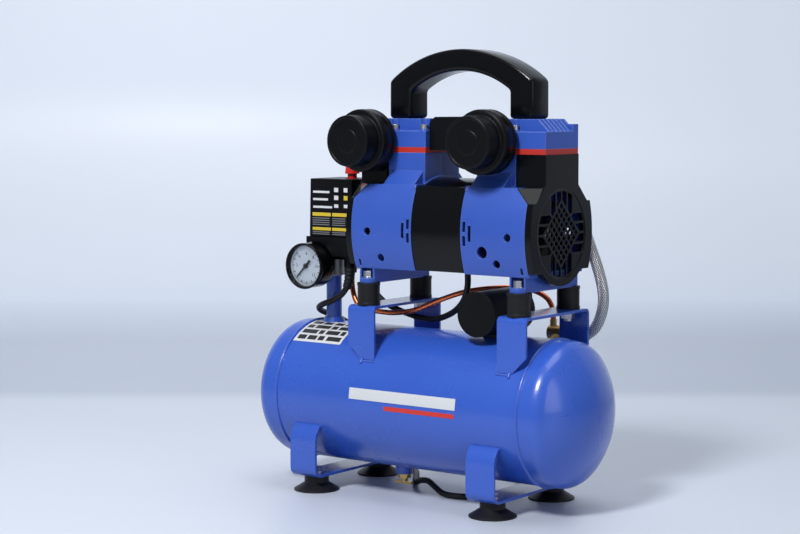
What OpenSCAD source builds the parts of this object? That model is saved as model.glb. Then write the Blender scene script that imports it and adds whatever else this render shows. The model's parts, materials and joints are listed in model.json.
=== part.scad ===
// Oil-free twin-cylinder air compressor on a horizontal tank, for an airbrush.
// X runs along the tank, -Y is the side with the gauge and the intake filters, Z is up.
// The origin is on the floor, under the middle of the tank.

/* [Tank] */
// Outer radius of the tank
tank_r = 80; // [74:1:90]
// Wall of the tank
tank_wall = 2.5; // [2:0.5:4]
// Length of the rolled shell between the two girth welds
shell_len = 328; // [300:1:400]
// Straight skirt on each domed end
skirt_len = 14; // [8:1:24]
// Height of the tank's middle line above the floor
tank_z = 108; // [106:1:130]

/* [Feet and straps] */
// Distance between the feet along the tank
foot_pitch_x = 243; // [200:1:280]
// Distance between the feet across the tank
foot_pitch_y = 118; // [106:1:124]
// Radius of a suction cup's rim
cup_r = 26; // [20:1:30]
// Radius of a suction cup's neck
cup_neck_r = 14; // [11:0.5:15]
// Height of a suction cup, up to the strap that it carries
cup_h = 17.5; // [15:0.5:22]
// Width of a foot strap
strap_w = 36.5; // [32:0.5:46]
// Sheet thickness of the straps and the saddles
sheet_t = 3; // [2:0.5:4]
// Clearance between the tank's side and the inner face of a foot strap
strap_gap = 1; // [0.5:0.5:3]

/* [Pump mounting] */
// Place of the pump's middle along the tank
pump_x = 47.5; // [30:0.5:55]
// Distance between the rubber dampers along the tank
damper_pitch_x = 200.5; // [196:0.5:204]
// Distance between the rubber dampers across the tank
damper_pitch_y = 99; // [95:1:101]
// Radius of a rubber damper
damper_r = 13; // [12:0.5:15]
// Height of a rubber damper
damper_h = 25; // [20:1:32]
// Width of a saddle along the tank
saddle_w = 36.5; // [32:0.5:40]
// Length of a saddle across the tank
saddle_d = 128; // [126:1:132]
// Height of a saddle's top above the tank's crown
saddle_rise = 28.5; // [26:0.5:36]

/* [Pump] */
// Gap between the two crankcases, which the motor's cover fills
motor_len = 66; // [60:1:80]
// Length of one crankcase along the shaft
crankcase_len = 82; // [80:1:90]
// Half of a crankcase's depth, at the height of the shaft
case_half_y = 62; // [62:1:66]
// Wall of a crankcase
case_wall = 4; // [3:0.5:5]
// Radius of the shaft
shaft_r = 6; // [5:0.5:7]
// Throw of each crank, half of the stroke
crank_throw = 6; // [4:0.5:7]
// Inner radius of a cylinder
bore_r = 22; // [21:0.5:23]
// Distance between the two holes of a connecting rod
rod_len = 46; // [46:0.5:48]
// Height of a cylinder tower above its crankcase
tower_h = 35; // [35:0.5:42]
// Running clearance between a shaft, rod or piston and its hole, on the radius
run_gap = 0.05; // [0.02:0.01:0.08]

/* [Heads and handle] */
// Thickness of a red valve plate
plate_t = 6; // [4:0.5:8]
// Height of a head's closed block
head_h = 18; // [17:0.5:24]
// Height of the cooling fins on a head
fin_h = 13.5; // [8:0.5:18]
// Number of cooling fins on a head
fin_count = 7; // [5:1:8]
// Height of the handle's top above the fins
handle_h = 76; // [70:1:90]
// Depth of the handle across the pump
handle_d = 35; // [26:1:38]
// Length of the handle along the pump
handle_len = 191; // [184:1:194]

/* [Filters] */
// Radius of a filter's drum
filter_r = 35; // [30:0.5:36]
// Radius of a filter's cap
filter_cap_r = 28.5; // [24:0.5:29.5]
// Place of the left filter along the tank
filter_left_x = -58; // [-64:0.5:-54]
// Place of the right filter along the tank
filter_right_x = 102.5; // [98:0.5:112]

/* [Switch and gauge] */
// Place of the riser pipe along the tank
riser_x = -142; // [-148:1:-140]
// Outer radius of the riser pipe
riser_r = 9; // [7:0.5:11]
// Radius of the pressure gauge's case
gauge_r = 26.5; // [20:0.5:27]
// Depth of the pressure gauge's case
gauge_d = 30; // [24:1:32]
// Width of the pressure switch's cover
switch_w = 64; // [56:1:64]
// Depth of the pressure switch's cover
switch_d = 56; // [50:1:60]
// Height of the pressure switch's cover
switch_h = 67; // [55:1:75]
// Travel of the red on-off knob
knob_travel = 5; // [3:0.5:6]

/* [Hidden] */
$fn = 64;
eps = 0.01;

// ---- places that follow from the sizes above ----
tank_half = shell_len / 2;
tank_top = tank_z + tank_r;
strap_y = tank_r + strap_gap + sheet_t;
saddle_top = tank_top + saddle_rise;
lug_z = saddle_top + damper_h;
lug_t = 5.5;
case_low = 44;
case_high = 50;
sump_h = 11;
shaft_z = lug_z + lug_t + sump_h + case_low;
bulge_r = case_half_y + 50;
case_in = motor_len / 2;
case_out = case_in + crankcase_len;
tower_u = case_in + 26.5;
tower_w = 50;
tower_half_y = 32.5;
deck = case_high + tower_h;
plate_top = deck + plate_t;
head_top = plate_top + head_h;
fin_top = head_top + fin_h;
cover_t = 7.5;
head_in = case_in + 1;
head_out = case_out + cover_t - 0.5;
duct_in = tower_u + tower_w / 2 + 2.5;
chamfer = 16;
post_w = 30;
damper_u = damper_pitch_x / 2;
damper_y = damper_pitch_y / 2;
stud_r = 4;
cup_t = 3;

// ---- helpers ----
// A flat outline in Y and Z, pushed along X from x0 to x1.
module along_x(x0, x1) {
    translate([x0, 0, 0]) rotate([90, 0, 90]) linear_extrude(x1 - x0) children();
}
// A flat outline in X and Z, pushed along Y from y0 to y1.
module along_y(y0, y1) {
    translate([0, y1, 0]) rotate([90, 0, 0]) linear_extrude(y1 - y0) children();
}
// A cylinder along X, from x0 to x1.
module rod_x(x0, x1, r) {
    translate([x0, 0, 0]) rotate([0, 90, 0]) cylinder(h = x1 - x0, r = r);
}
// A cylinder along Y, from y0 to y1.
module rod_y(y0, y1, r) {
    translate([0, y1, 0]) rotate([90, 0, 0]) cylinder(h = y1 - y0, r = r);
}
// A block from one corner to the opposite one.
module block(low, high) {
    translate(low) cube(high - low);
}
// A hexagon nut or bolt head, its width measured across the flats.
module hexagon(flats, h) {
    rotate([0, 0, 30]) cylinder(h = h, r = flats / sqrt(3), $fn = 6);
}
// Children in the pump's own frame: its middle, at the height of the shaft.
module at_pump() {
    translate([pump_x, 0, shaft_z]) children();
}
// The right-hand side as it is, or mirrored to the left-hand side.
module on_side(side) {
    if (side == "right") children();
    else mirror([1, 0, 0]) children();
}
// Children at the four dampers, in the pump's own frame.
module at_dampers() {
    for (u = [-damper_u, damper_u], y = [-damper_y, damper_y])
        translate([u, y, 0]) children();
}
// Children at the four feet, on the floor.
module at_feet() {
    for (x = [-foot_pitch_x / 2, foot_pitch_x / 2], y = [-foot_pitch_y / 2, foot_pitch_y / 2])
        translate([x, y, 0]) children();
}

// ---- a round tube swept along a route ----
function unit(v) = v / norm(v);
// A point on a smooth curve between b and c, with a and d beyond them.
function blend(a, b, c, d, t) =
    0.5 * ((2 * b) + (c - a) * t + (2 * a - 5 * b + 4 * c - d) * t * t + (3 * b - a - 3 * c + d) * t * t * t);
function smooth(p, steps) = [
    for (i = [0 : len(p) - 2], s = [0 : steps - 1])
        blend(p[max(i - 1, 0)], p[i], p[i + 1], p[min(i + 2, len(p) - 1)], s / steps),
    p[len(p) - 1]
];
function heading(p, i) = unit(p[min(i + 1, len(p) - 1)] - p[max(i - 1, 0)]);
// The sideways direction is carried from ring to ring, so the tube doesn't twist.
function sideways(p, i) =
    i == 0
        ? unit(cross(heading(p, 0), abs(heading(p, 0).z) < 0.9 ? [0, 0, 1] : [0, 1, 0]))
        : let (last = sideways(p, i - 1), h = heading(p, i)) unit(last - (last * h) * h);
module sweep(p, r, sides) {
    n = len(p);
    rings = [
        for (i = [0 : n - 1])
            let (h = heading(p, i), s = sideways(p, i), t = cross(h, s))
                for (k = [0 : sides - 1])
                    p[i] + r * (cos(360 * k / sides) * s + sin(360 * k / sides) * t)
    ];
    walls = [
        for (i = [0 : n - 2], k = [0 : sides - 1])
            let (j = (k + 1) % sides, near = i * sides, far = near + sides)
                [near + k, near + j, far + j, far + k]
    ];
    first = [[for (k = [sides - 1 : -1 : 0]) k]];
    last = [[for (k = [0 : sides - 1]) (n - 1) * sides + k]];
    polyhedron(points = rings, faces = concat(first, walls, last), convexity = 10);
}

// ---- tank ----
crown_r = 115;
knuckle_r = 20;
// Distance from the skirt's edge to the middle of the crown's arc.
crown_back = sqrt(pow(crown_r - knuckle_r, 2) - pow(tank_r - knuckle_r, 2));

// Half of a dome's outline, X outwards and Y along the tank, thinner by the inset.
module dome_outline(inset) {
    rim = tank_r - knuckle_r;
    intersection() {
        translate([0, -crown_back]) circle(crown_r - inset, $fn = 200);
        polygon([[0, -crown_back], [0, crown_r], [rim * 2, -crown_back + crown_back * 2]]);
    }
    translate([rim, 0]) intersection() {
        circle(knuckle_r - inset);
        square([knuckle_r, knuckle_r]);
    }
    polygon([[0, 0], [rim, 0], [rim, knuckle_r / 2], [0, knuckle_r / 2]]);
    translate([0, -skirt_len]) square([tank_r - inset, skirt_len]);
}
module tank_end() {
    weld_r = 2;
    difference() {
        rotate_extrude($fn = 128) dome_outline(0);
        rotate_extrude($fn = 128) dome_outline(tank_wall);
        translate([0, 0, -skirt_len - 1]) cylinder(h = 1 + eps, r = tank_r - tank_wall);
    }
    // the girth weld bead, on the joint with the shell
    translate([0, 0, -skirt_len]) rotate_extrude($fn = 128) translate([tank_r, 0]) intersection() {
        circle(weld_r, $fn = 24);
        translate([0, -weld_r]) square([weld_r, 2 * weld_r]);
    }
}
module tank_end_left() {
    color("royalblue") translate([-tank_half - skirt_len, 0, tank_z]) rotate([0, -90, 0]) tank_end();
}
module tank_end_right() {
    color("royalblue") translate([tank_half + skirt_len, 0, tank_z]) rotate([0, 90, 0]) tank_end();
}
port_r = 5;
drain_x = -40;
check_x = pump_x + 74;
check_angle = 45;
drain_boss_h = 9;
drain_seat = tank_z - tank_r - drain_boss_h;
module tank_shell() {
    color("royalblue") difference() {
        union() {
            translate([0, 0, tank_z]) rod_x(-tank_half, tank_half, tank_r, $fn = 128);
            // boss for the drain valve, welded underneath
            translate([drain_x, 0, drain_seat]) cylinder(h = drain_boss_h + 4, r = 10);
        }
        translate([0, 0, tank_z]) rod_x(-tank_half - 1, tank_half + 1, tank_r - tank_wall, $fn = 128);
        translate([riser_x, 0, tank_z]) cylinder(h = tank_r + 10, r = riser_r);
        translate([drain_x, 0, 0]) cylinder(h = tank_z, r = port_r);
        translate([check_x, 0, tank_z]) rotate([-check_angle, 0, 0]) cylinder(h = tank_r + 10, r = port_r);
    }
}
// The drain cock hangs under its boss, with a wing to turn it by hand.
module drain_valve() {
    body_h = 5;
    color("goldenrod") translate([drain_x, 0, drain_seat - body_h]) {
        hexagon(14, body_h);
        cylinder(h = body_h + 8, r = port_r - run_gap);
        translate([0, 0, -5]) cylinder(h = 5, r = 4);
        block([-11, -2, -7], [11, 2, -4]);
    }
}

// ---- foot straps and feet ----
// A flat U under the tank; its ends curve inwards and are welded to the tank's sides.
strap_bend = 11;
strap_curl = 25;
strap_leg_top = cup_h + 41;
// A quarter or less of a bent sheet: the outer radius, and the angles that it spans.
module bent_sheet(outer, from, to) {
    difference() {
        circle(outer);
        circle(outer - sheet_t);
        rotate(from) translate([-2 * outer, -2 * outer]) square([4 * outer, 2 * outer]);
        rotate(to) translate([-2 * outer, 0]) square([4 * outer, 2 * outer]);
    }
}
module foot_strap() {
    leg_low = cup_h + strap_bend;
    difference() {
        along_x(-strap_w / 2, strap_w / 2) {
            translate([-strap_y + strap_bend, cup_h]) square([2 * (strap_y - strap_bend), sheet_t]);
            for (s = [-1, 1]) scale([s, 1]) {
                translate([strap_y - strap_bend, leg_low]) bent_sheet(strap_bend, -90, 0);
                translate([strap_y - sheet_t, leg_low]) square([sheet_t, strap_leg_top - leg_low]);
                translate([strap_y - strap_curl, strap_leg_top]) bent_sheet(strap_curl, 0, 60);
            }
        }
        translate([0, 0, tank_z]) rod_x(-strap_w, strap_w, tank_r, $fn = 128);
        for (y = [-foot_pitch_y / 2, foot_pitch_y / 2])
            translate([0, y, cup_h - 1]) cylinder(h = sheet_t + 2, r = stud_r - 1);
    }
}
module foot_strap_left() {
    color("royalblue") translate([-foot_pitch_x / 2, 0, 0]) foot_strap();
}
module foot_strap_right() {
    color("royalblue") translate([foot_pitch_x / 2, 0, 0]) foot_strap();
}
module suction_feet() {
    color("dimgray") at_feet() difference() {
        rotate_extrude() difference() {
            union() {
                square([cup_neck_r, cup_h]);
                polygon([[0, 0], [cup_r, 0], [cup_r, 1.5], [cup_neck_r, 9], [0, 9]]);
            }
            polygon([[-1, -1], [cup_r - cup_t, -1], [cup_neck_r - 3, 5], [-1, 6]]);
        }
        translate([0, 0, 5]) cylinder(h = cup_h, r = stud_r - 1);
    }
}
module foot_bolts() {
    color("silver") at_feet() {
        translate([0, 0, 8]) cylinder(h = cup_h + sheet_t - 8, r = stud_r - 1);
        translate([0, 0, cup_h + sheet_t]) cylinder(h = 1.5, r = 9);
        translate([0, 0, cup_h + sheet_t + 1.5]) hexagon(10, 4.5);
    }
}

// ---- saddles, dampers and their fasteners ----
saddle_y = saddle_d / 2;
saddle_bend = 6;
// The outer corner of each leg is cut off at a slant, clear of the girth weld.
saddle_cut = 20;
leg_foot_z = tank_z + sqrt(tank_r * tank_r - saddle_y * saddle_y);
// An arched plate on the tank that carries two dampers; its outer side faces +X.
module saddle() {
    difference() {
        along_x(-saddle_w / 2, saddle_w / 2) {
            translate([-saddle_y + saddle_bend, saddle_top - sheet_t])
                square([2 * (saddle_y - saddle_bend), sheet_t]);
            for (s = [-1, 1]) scale([s, 1]) {
                translate([saddle_y - saddle_bend, saddle_top - saddle_bend]) bent_sheet(saddle_bend, 0, 90);
                translate([saddle_y - sheet_t, tank_z]) square([sheet_t, saddle_top - saddle_bend - tank_z]);
            }
        }
        translate([0, 0, tank_z]) rod_x(-saddle_w, saddle_w, tank_r, $fn = 128);
        block([-saddle_w, -saddle_y - 1, tank_z - 1], [saddle_w, saddle_y + 1, leg_foot_z - 0.5]);
        along_y(-saddle_y - 1, saddle_y + 1) polygon([
            [saddle_w / 2 - saddle_cut, leg_foot_z - 2], [saddle_w / 2 + 2, leg_foot_z + saddle_cut],
            [saddle_w / 2 + 2, leg_foot_z - 2]
        ]);
        for (y = [-damper_y, damper_y])
            translate([0, y, saddle_top - sheet_t - 1]) cylinder(h = sheet_t + 2, r = stud_r);
    }
}
module saddle_left() {
    color("royalblue") translate([pump_x - damper_u, 0, 0]) mirror([1, 0, 0]) saddle();
}
module saddle_right() {
    color("royalblue") translate([pump_x + damper_u, 0, 0]) saddle();
}
module dampers() {
    lip = 3;
    color("dimgray") translate([pump_x, 0, saddle_top]) at_dampers() difference() {
        union() {
            cylinder(h = lip, r = damper_r);
            cylinder(h = damper_h, r = damper_r - 0.5);
            translate([0, 0, damper_h - lip]) cylinder(h = lip, r = damper_r);
        }
        translate([0, 0, damper_h - 8]) cylinder(h = 9, r = stud_r);
        translate([0, 0, -1]) cylinder(h = 9, r = stud_r);
    }
}
module damper_nuts() {
    color("silver") translate([pump_x, 0, saddle_top]) at_dampers() {
        translate([0, 0, -sheet_t - 11]) cylinder(h = sheet_t + 19, r = stud_r);
        translate([0, 0, -sheet_t - 1.5]) cylinder(h = 1.5, r = 8.5);
        translate([0, 0, -sheet_t - 8]) hexagon(13, 6.6);
    }
}
module lug_bolts() {
    color("silver") translate([pump_x, 0, lug_z]) at_dampers() {
        translate([0, 0, -8]) cylinder(h = lug_t + 8, r = stud_r);
        translate([0, 0, lug_t]) cylinder(h = 1.2, r = 6.2);
        translate([0, 0, lug_t + 1.2]) hexagon(10, 6.3);
    }
}

// ---- crankcases ----
// A crankcase's cross-section in Y and Z: flat top and bottom, bulging front and back.
module case_outline(inset) {
    intersection() {
        translate([bulge_r - case_half_y, 0]) circle(bulge_r - inset, $fn = 200);
        translate([-bulge_r + case_half_y, 0]) circle(bulge_r - inset, $fn = 200);
        translate([-100, -case_low + inset]) square([200, case_low + case_high - 2 * inset]);
    }
}
bearing_r = 13;
bearing_w = 8;
sleeve_r = bore_r + 2.5;
wall_u = tower_u + tower_w / 2 - 4;
rail_half = 10;
rail_low = -case_low - sump_h - lug_t;
// The right-hand crankcase in the pump's frame; the left one is its mirror image.
module crankcase() {
    difference() {
        union() {
            difference() {
                along_x(case_in, case_out) case_outline(0);
                along_x(case_in + bearing_w, wall_u) case_outline(case_wall);
                along_x(wall_u + 3, case_out + 1) case_outline(case_wall);
            }
            // cylinder tower, with a sloped shoulder at its front and back
            block([tower_u - tower_w / 2, -tower_half_y, case_high - case_wall],
                  [tower_u + tower_w / 2, tower_half_y, deck]);
            along_x(tower_u - 22, tower_u + 20) polygon([
                [-tower_half_y - 18, case_high - 1], [-tower_half_y, case_high + 15],
                [tower_half_y, case_high + 15], [tower_half_y + 18, case_high - 1]
            ]);
            // collar that laps the motor's cover, above the case
            along_x(case_in, case_in + 2.5) intersection() {
                cover_outline(-1);
                translate([-60, case_high - 4]) square([120, 30]);
            }
            // rail across the pump, from the front damper to the back one
            block([damper_u - rail_half, -42, rail_low], [damper_u + rail_half, 42, -case_low + 1]);
            // round lugs on the dampers, each held by two ribs
            for (y = [-1, 1]) scale([1, y, 1]) {
                translate([damper_u, damper_y, rail_low]) cylinder(h = lug_t, r = rail_half);
                for (s = [-1, 1])
                    block([damper_u + s * (rail_half - 1) - 1, 40, rail_low + 1],
                          [damper_u + s * (rail_half - 1) + 1, damper_y + 3, -case_low + 1]);
            }
        }
        // seat of the main bearing
        rod_x(case_in - 1, case_in + bearing_w + 1, bearing_r);
        rod_x(wall_u - 1, wall_u + 4, shaft_r + 4);
        // seat of the cylinder sleeve, and the way down for the rod
        translate([tower_u, 0, case_high - case_wall - 12]) cylinder(h = deck, r = sleeve_r);
        // way up for the cooling air
        block([duct_in + 3, -26, 30], [case_out + 1, 26, case_high + 1]);
        // sloped outer corner
        along_y(-100, 100) polygon([
            [case_out - chamfer, case_high], [case_out + 1, case_high - chamfer - 1],
            [case_out + 1, case_high + 2], [case_out - chamfer, case_high + 2]
        ]);
        // lug bolt holes
        for (y = [-damper_y, damper_y])
            translate([damper_u, y, rail_low - 1]) cylinder(h = lug_t + 2, r = stud_r);
        // openings in the front and back
        for (y = [-case_half_y - 2, case_half_y - 12]) translate([0, y, 0]) {
            translate([case_in + 60, 0, -2]) rod_y(0, 14, 4.5);
            translate([case_in + 44, 0, -31]) rod_y(0, 14, 4.5);
            block([case_in + 2.5, 0, 2], [case_in + 6.5, 14, 13]);
            block([case_in + 2.5, 0, -13], [case_in + 6.5, 14, -2]);
            block([case_in + 9.5, 0, -8], [case_in + 13.5, 14, 9]);
            block([case_out - 9, 0, -41], [case_out - 6, 14, -34]);
        }
    }
}
module crankcase_left() {
    color("royalblue") at_pump() on_side("left") crankcase();
}
module crankcase_right() {
    color("royalblue") at_pump() difference() {
        crankcase();
        // breather
        translate([case_in + 27, 0, -19]) rod_y(-case_half_y - 2, -40, 6.5);
    }
}

// ---- motor ----
arch_r = 76;
module cover_outline(inset) {
    case_outline(inset);
    intersection() {
        translate([0, case_high + 7 - arch_r]) circle(arch_r - inset + 1, $fn = 200);
        translate([-40 + inset, 0]) square([80 - 2 * inset, case_high + 20]);
    }
}
module stator_cover() {
    color("black") at_pump() difference() {
        along_x(-case_in, case_in) cover_outline(1);
        along_x(-case_in - 1, case_in + 1) cover_outline(3.5);
    }
}
stator_r = 50;
rotor_r = 26;
air_gap = 0.6;
core_half = 20;
slot_count = 12;
module slot_bars(half) {
    for (k = [0 : slot_count - 1]) rotate([k * 360 / slot_count, 0, 0])
        block([-half, -2, rotor_r + 3], [half, 2, rotor_r + 12]);
}
module stator_core() {
    color("gray") at_pump() difference() {
        along_x(-core_half, core_half) intersection() {
            case_outline(3.5);
            circle(stator_r);
        }
        rod_x(-core_half - 1, core_half + 1, rotor_r + air_gap);
        slot_bars(core_half + 1);
    }
}
module windings() {
    end_len = 9;
    color("chocolate") at_pump() {
        slot_bars(core_half + 2);
        for (start = [-core_half - end_len, core_half]) difference() {
            rod_x(start, start + end_len, rotor_r + 13);
            rod_x(-core_half - 2 * end_len, core_half + 2 * end_len, rotor_r + 2.5);
        }
    }
}
module bearings() {
    color("silver") at_pump() for (side = ["left", "right"]) on_side(side) difference() {
        rod_x(case_in + 0.5, case_in + bearing_w - 0.5, bearing_r);
        rod_x(case_in, case_in + bearing_w, shaft_r + run_gap);
        // groove that shows the ball race on each face
        for (u = [case_in, case_in + bearing_w - 1.5]) difference() {
            rod_x(u, u + 1.5, bearing_r - 2);
            rod_x(u - 1, u + 3, shaft_r + 2.2);
        }
    }
}
fan_u = wall_u + 6;
fan_w = 18;
module shaft() {
    color("silver") at_pump() rod_x(-fan_u - fan_w, fan_u + fan_w, shaft_r);
}
module rotor() {
    color("darkgray") at_pump() difference() {
        rod_x(-core_half, core_half, rotor_r);
        rod_x(-core_half - 1, core_half + 1, shaft_r);
        for (k = [0 : 11]) rotate([k * 30, 0, 0])
            translate([0, 0, rotor_r - 5]) rod_x(-core_half - 1, core_half + 1, 2);
    }
}
pin_r = shaft_r + crank_throw + 3;
rod_w = 8;
// One eccentric with its balance weight; way is 1 for a crank at the top, -1 at the bottom.
module eccentric(way) {
    difference() {
        union() {
            translate([0, 0, way * crank_throw]) rod_x(tower_u - 5, tower_u + 5, pin_r);
            intersection() {
                rod_x(tower_u + 5, tower_u + 10, 26);
                translate([tower_u, -30, way > 0 ? -30 : 0]) cube([20, 60, 30]);
            }
            rod_x(tower_u + 5, tower_u + 10, shaft_r + 3);
        }
        rod_x(tower_u - 6, tower_u + 11, shaft_r);
    }
}
module eccentrics() {
    color("slategray") at_pump() {
        on_side("right") eccentric(1);
        on_side("left") eccentric(-1);
    }
}
fan_r = 37;
blade_count = 9;
module fans() {
    color("darkslategray") at_pump() for (side = ["left", "right"]) on_side(side) {
        difference() {
            rod_x(fan_u, fan_u + fan_w, 11);
            rod_x(fan_u - 1, fan_u + fan_w + 1, shaft_r);
        }
        intersection() {
            rod_x(fan_u, fan_u + fan_w, fan_r);
            for (k = [0 : blade_count - 1]) rotate([k * 360 / blade_count, 0, 0])
                translate([fan_u + fan_w / 2, 0, 9]) rotate([0, 0, 35])
                    block([-1, -13, 0], [1, 13, fan_r]);
        }
    }
}

// ---- rods and pistons ----
bush_t = 4;
wrist_r = 4;
eye_r = 8;
// A connecting rod about the middle of its crank, with the bush and the wrist pin.
module rod_piece() {
    difference() {
        union() {
            rod_x(tower_u - rod_w / 2, tower_u + rod_w / 2, pin_r + run_gap + 2 * bush_t);
            block([tower_u - rod_w / 2, -5, pin_r + 4], [tower_u + rod_w / 2, 5, rod_len - 5]);
            translate([0, 0, rod_len]) rod_x(tower_u - rod_w / 2, tower_u + rod_w / 2, eye_r);
        }
        rod_x(tower_u - rod_w, tower_u + rod_w, pin_r + run_gap);
    }
    translate([0, 0, rod_len]) rod_x(tower_u - 14, tower_u + 14, wrist_r);
}
module rod_left() {
    color("lightgray") at_pump() on_side("left") translate([0, 0, -crank_throw]) rod_piece();
}
module rod_right() {
    color("lightgray") at_pump() translate([0, 0, crank_throw]) rod_piece();
}
piston_h = 38;
skirt_t = 3;
top_gap = 1;
// A piston about its cylinder's axis, its crown at the height given.
module piston_piece(top) {
    translate([tower_u, 0, top - piston_h]) difference() {
        cylinder(h = piston_h, r = bore_r - run_gap);
        translate([0, 0, -1]) cylinder(h = piston_h - 3, r = bore_r - run_gap - skirt_t);
        // grooves for the seals
        for (z = [8, 13]) translate([0, 0, piston_h - z]) difference() {
            cylinder(h = 2.4, r = bore_r + 1);
            translate([0, 0, -1]) cylinder(h = 5, r = bore_r - 1.2);
        }
    }
}
module piston_right() {
    color("lightgray") at_pump() piston_piece(deck - top_gap);
}
module piston_left() {
    color("lightgray") at_pump() on_side("left") piston_piece(deck - top_gap - 2 * crank_throw);
}
module cylinder_sleeves() {
    color("silver") at_pump() for (side = ["left", "right"]) on_side(side)
        translate([tower_u, 0, case_high - 10]) difference() {
            cylinder(h = tower_h + 10, r = sleeve_r);
            translate([0, 0, -1]) cylinder(h = tower_h + 12, r = bore_r);
        }
}

// ---- valve plates, heads and their fittings ----
valve_u = 8;
module valve_plates() {
    color("firebrick") at_pump() on_both_sides() difference() {
        block([head_in, -tower_half_y, deck], [head_out, tower_half_y, plate_top]);
        for (u = [-valve_u, valve_u]) translate([tower_u + u, 0, deck - 1]) cylinder(h = plate_t + 2, r = 4);
        head_bolt_places() translate([0, 0, deck - 1]) cylinder(h = plate_t + 2, r = 2.5);
    }
    // steel reeds that cover the outlet holes
    color("silver") at_pump() for (u = [tower_u + valve_u, valve_u - tower_u])
        translate([u, 0, plate_top + run_gap]) block([-5, -14, 0], [5, 9, 0.6]);
}
module head_bolt_places() {
    for (u = [tower_u - 20, tower_u + 20], y = [-27, 27]) translate([u, y, 0]) children();
}
discharge_u = tower_u + 17;
port_z = plate_top + 7;
// The fins stand behind a ledge, and slots between them open to the outer side.
fin_half = 26;
fin_t = 3.4;
rib_h = 8;
// A head about the pump's frame; filter_u is where its intake is.
module head(side, filter_u) {
    intake_right = side == "right";
    fin_pitch = (2 * fin_half - fin_t) / (fin_count - 1);
    difference() {
        union() {
            block([head_in, -tower_half_y, plate_top], [head_out, tower_half_y, head_top]);
            along_y(-fin_half, fin_half) polygon([
                [head_in, head_top - 1], [head_out, head_top - 1], [head_out, head_top],
                [head_out - fin_h, fin_top], [head_in, fin_top]
            ]);
            // raised rib along the back
            block([head_out - 22, fin_half - 8, head_top - 1], [head_out, tower_half_y, head_top + rib_h]);
            // bosses of the bolts, on the ledge
            head_bolt_places() translate([0, 0, head_top - 1]) cylinder(h = 3, r = 5.5);
        }
        // slots between the fins
        for (k = [0 : fin_count - 2])
            block([post_u + post_w + 2, -fin_half + k * fin_pitch + fin_t, head_top + 0.5],
                  [head_out + 1, -fin_half + (k + 1) * fin_pitch, fin_top + 1]);
        // intake and discharge chambers
        block([intake_right ? head_in + 4 : tower_u + 2, -26, plate_top - 1],
              [intake_right ? tower_u - 2 : head_out - 6, 26, plate_top + 12]);
        block([intake_right ? tower_u + 2 : head_in + 4, -26, plate_top - 1],
              [intake_right ? tower_u + 22 : tower_u - 2, 26, plate_top + 12]);
        translate([filter_u, 0, port_z]) rod_y(-tower_half_y - 1, -20, 6);
        if (intake_right) translate([discharge_u, 0, port_z]) rod_y(20, tower_half_y + 1, 5);
        // passage to the other head
        translate([0, 0, port_z]) rod_x(head_in - 1, head_in + 5, 5);
        head_bolt_places() {
            translate([0, 0, plate_top - 1]) cylinder(h = head_h + 4, r = 2.5);
            translate([0, 0, head_top + 2]) cylinder(h = fin_h, r = 6);
        }
        handle_bolt_places() translate([0, 0, head_top - 6]) cylinder(h = fin_h + 7, r = 2.5);
    }
}
post_u = handle_len / 2 - post_w;
module handle_bolt_places() {
    for (y = [-10, 10]) translate([post_u + post_w / 2, y, 0]) children();
}
module head_left() {
    color("royalblue") at_pump() on_side("left") head("left", pump_x - filter_left_x);
}
module head_right() {
    color("royalblue") at_pump() head("right", filter_right_x - pump_x);
}
module head_screws() {
    color("silver") at_pump() on_both_sides() {
        head_bolt_places() {
            translate([0, 0, deck]) cylinder(h = plate_t + head_h + 2.5, r = 2.5);
            translate([0, 0, head_top + 2]) difference() {
                cylinder(h = 5, r = 4.25);
                translate([0, 0, 2.5]) cylinder(h = 3, r = 2.3, $fn = 6);
            }
        }
        // the screws that hold the handle come up through each head
        handle_bolt_places() translate([0, 0, head_top - 6]) cylinder(h = fin_h + 6 + 18, r = 2.5);
    }
}
// The closed duct that joins the two heads.
module air_duct() {
    duct_half_y = 25;
    duct_wall = 2.5;
    corner = 7;
    high = fin_top + 2;
    low = plate_top - 3;
    color("black") at_pump() difference() {
        along_y(-duct_half_y, duct_half_y) polygon([
            [-head_in, low], [head_in, low], [head_in, high - corner],
            [head_in - corner, high], [-head_in + corner, high], [-head_in, high - corner]
        ]);
        along_y(-duct_half_y + duct_wall, duct_half_y - duct_wall) polygon([
            [-head_in - 1, low + duct_wall], [head_in + 1, low + duct_wall],
            [head_in + 1, high - corner - duct_wall], [head_in - corner - 1, high - duct_wall],
            [-head_in + corner + 1, high - duct_wall], [-head_in - 1, high - corner - duct_wall]
        ]);
    }
}
// The arched handle stands on the two heads.
module handle() {
    rise = 34.5;
    inner_rise = 21.5;
    band = 24;
    half = handle_len / 2;
    inner_half = half - post_w;
    outer_r = (half * half + rise * rise) / (2 * rise);
    inner_r = (inner_half * inner_half + inner_rise * inner_rise) / (2 * inner_rise);
    color("black") translate([pump_x, 0, shaft_z + fin_top]) difference() {
        along_y(-handle_d / 2, handle_d / 2) difference() {
            intersection() {
                translate([-half, 0]) square([2 * half, handle_h]);
                translate([0, handle_h - outer_r]) circle(outer_r, $fn = 256);
            }
            intersection() {
                translate([-inner_half, -1]) square([2 * inner_half, handle_h]);
                translate([0, handle_h - band - inner_r]) circle(inner_r, $fn = 256);
            }
        }
        on_both_sides() handle_bolt_places() translate([0, 0, -1]) cylinder(h = 19, r = 2.5);
    }
}
module on_both_sides() {
    on_side("right") children();
    on_side("left") children();
}
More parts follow.
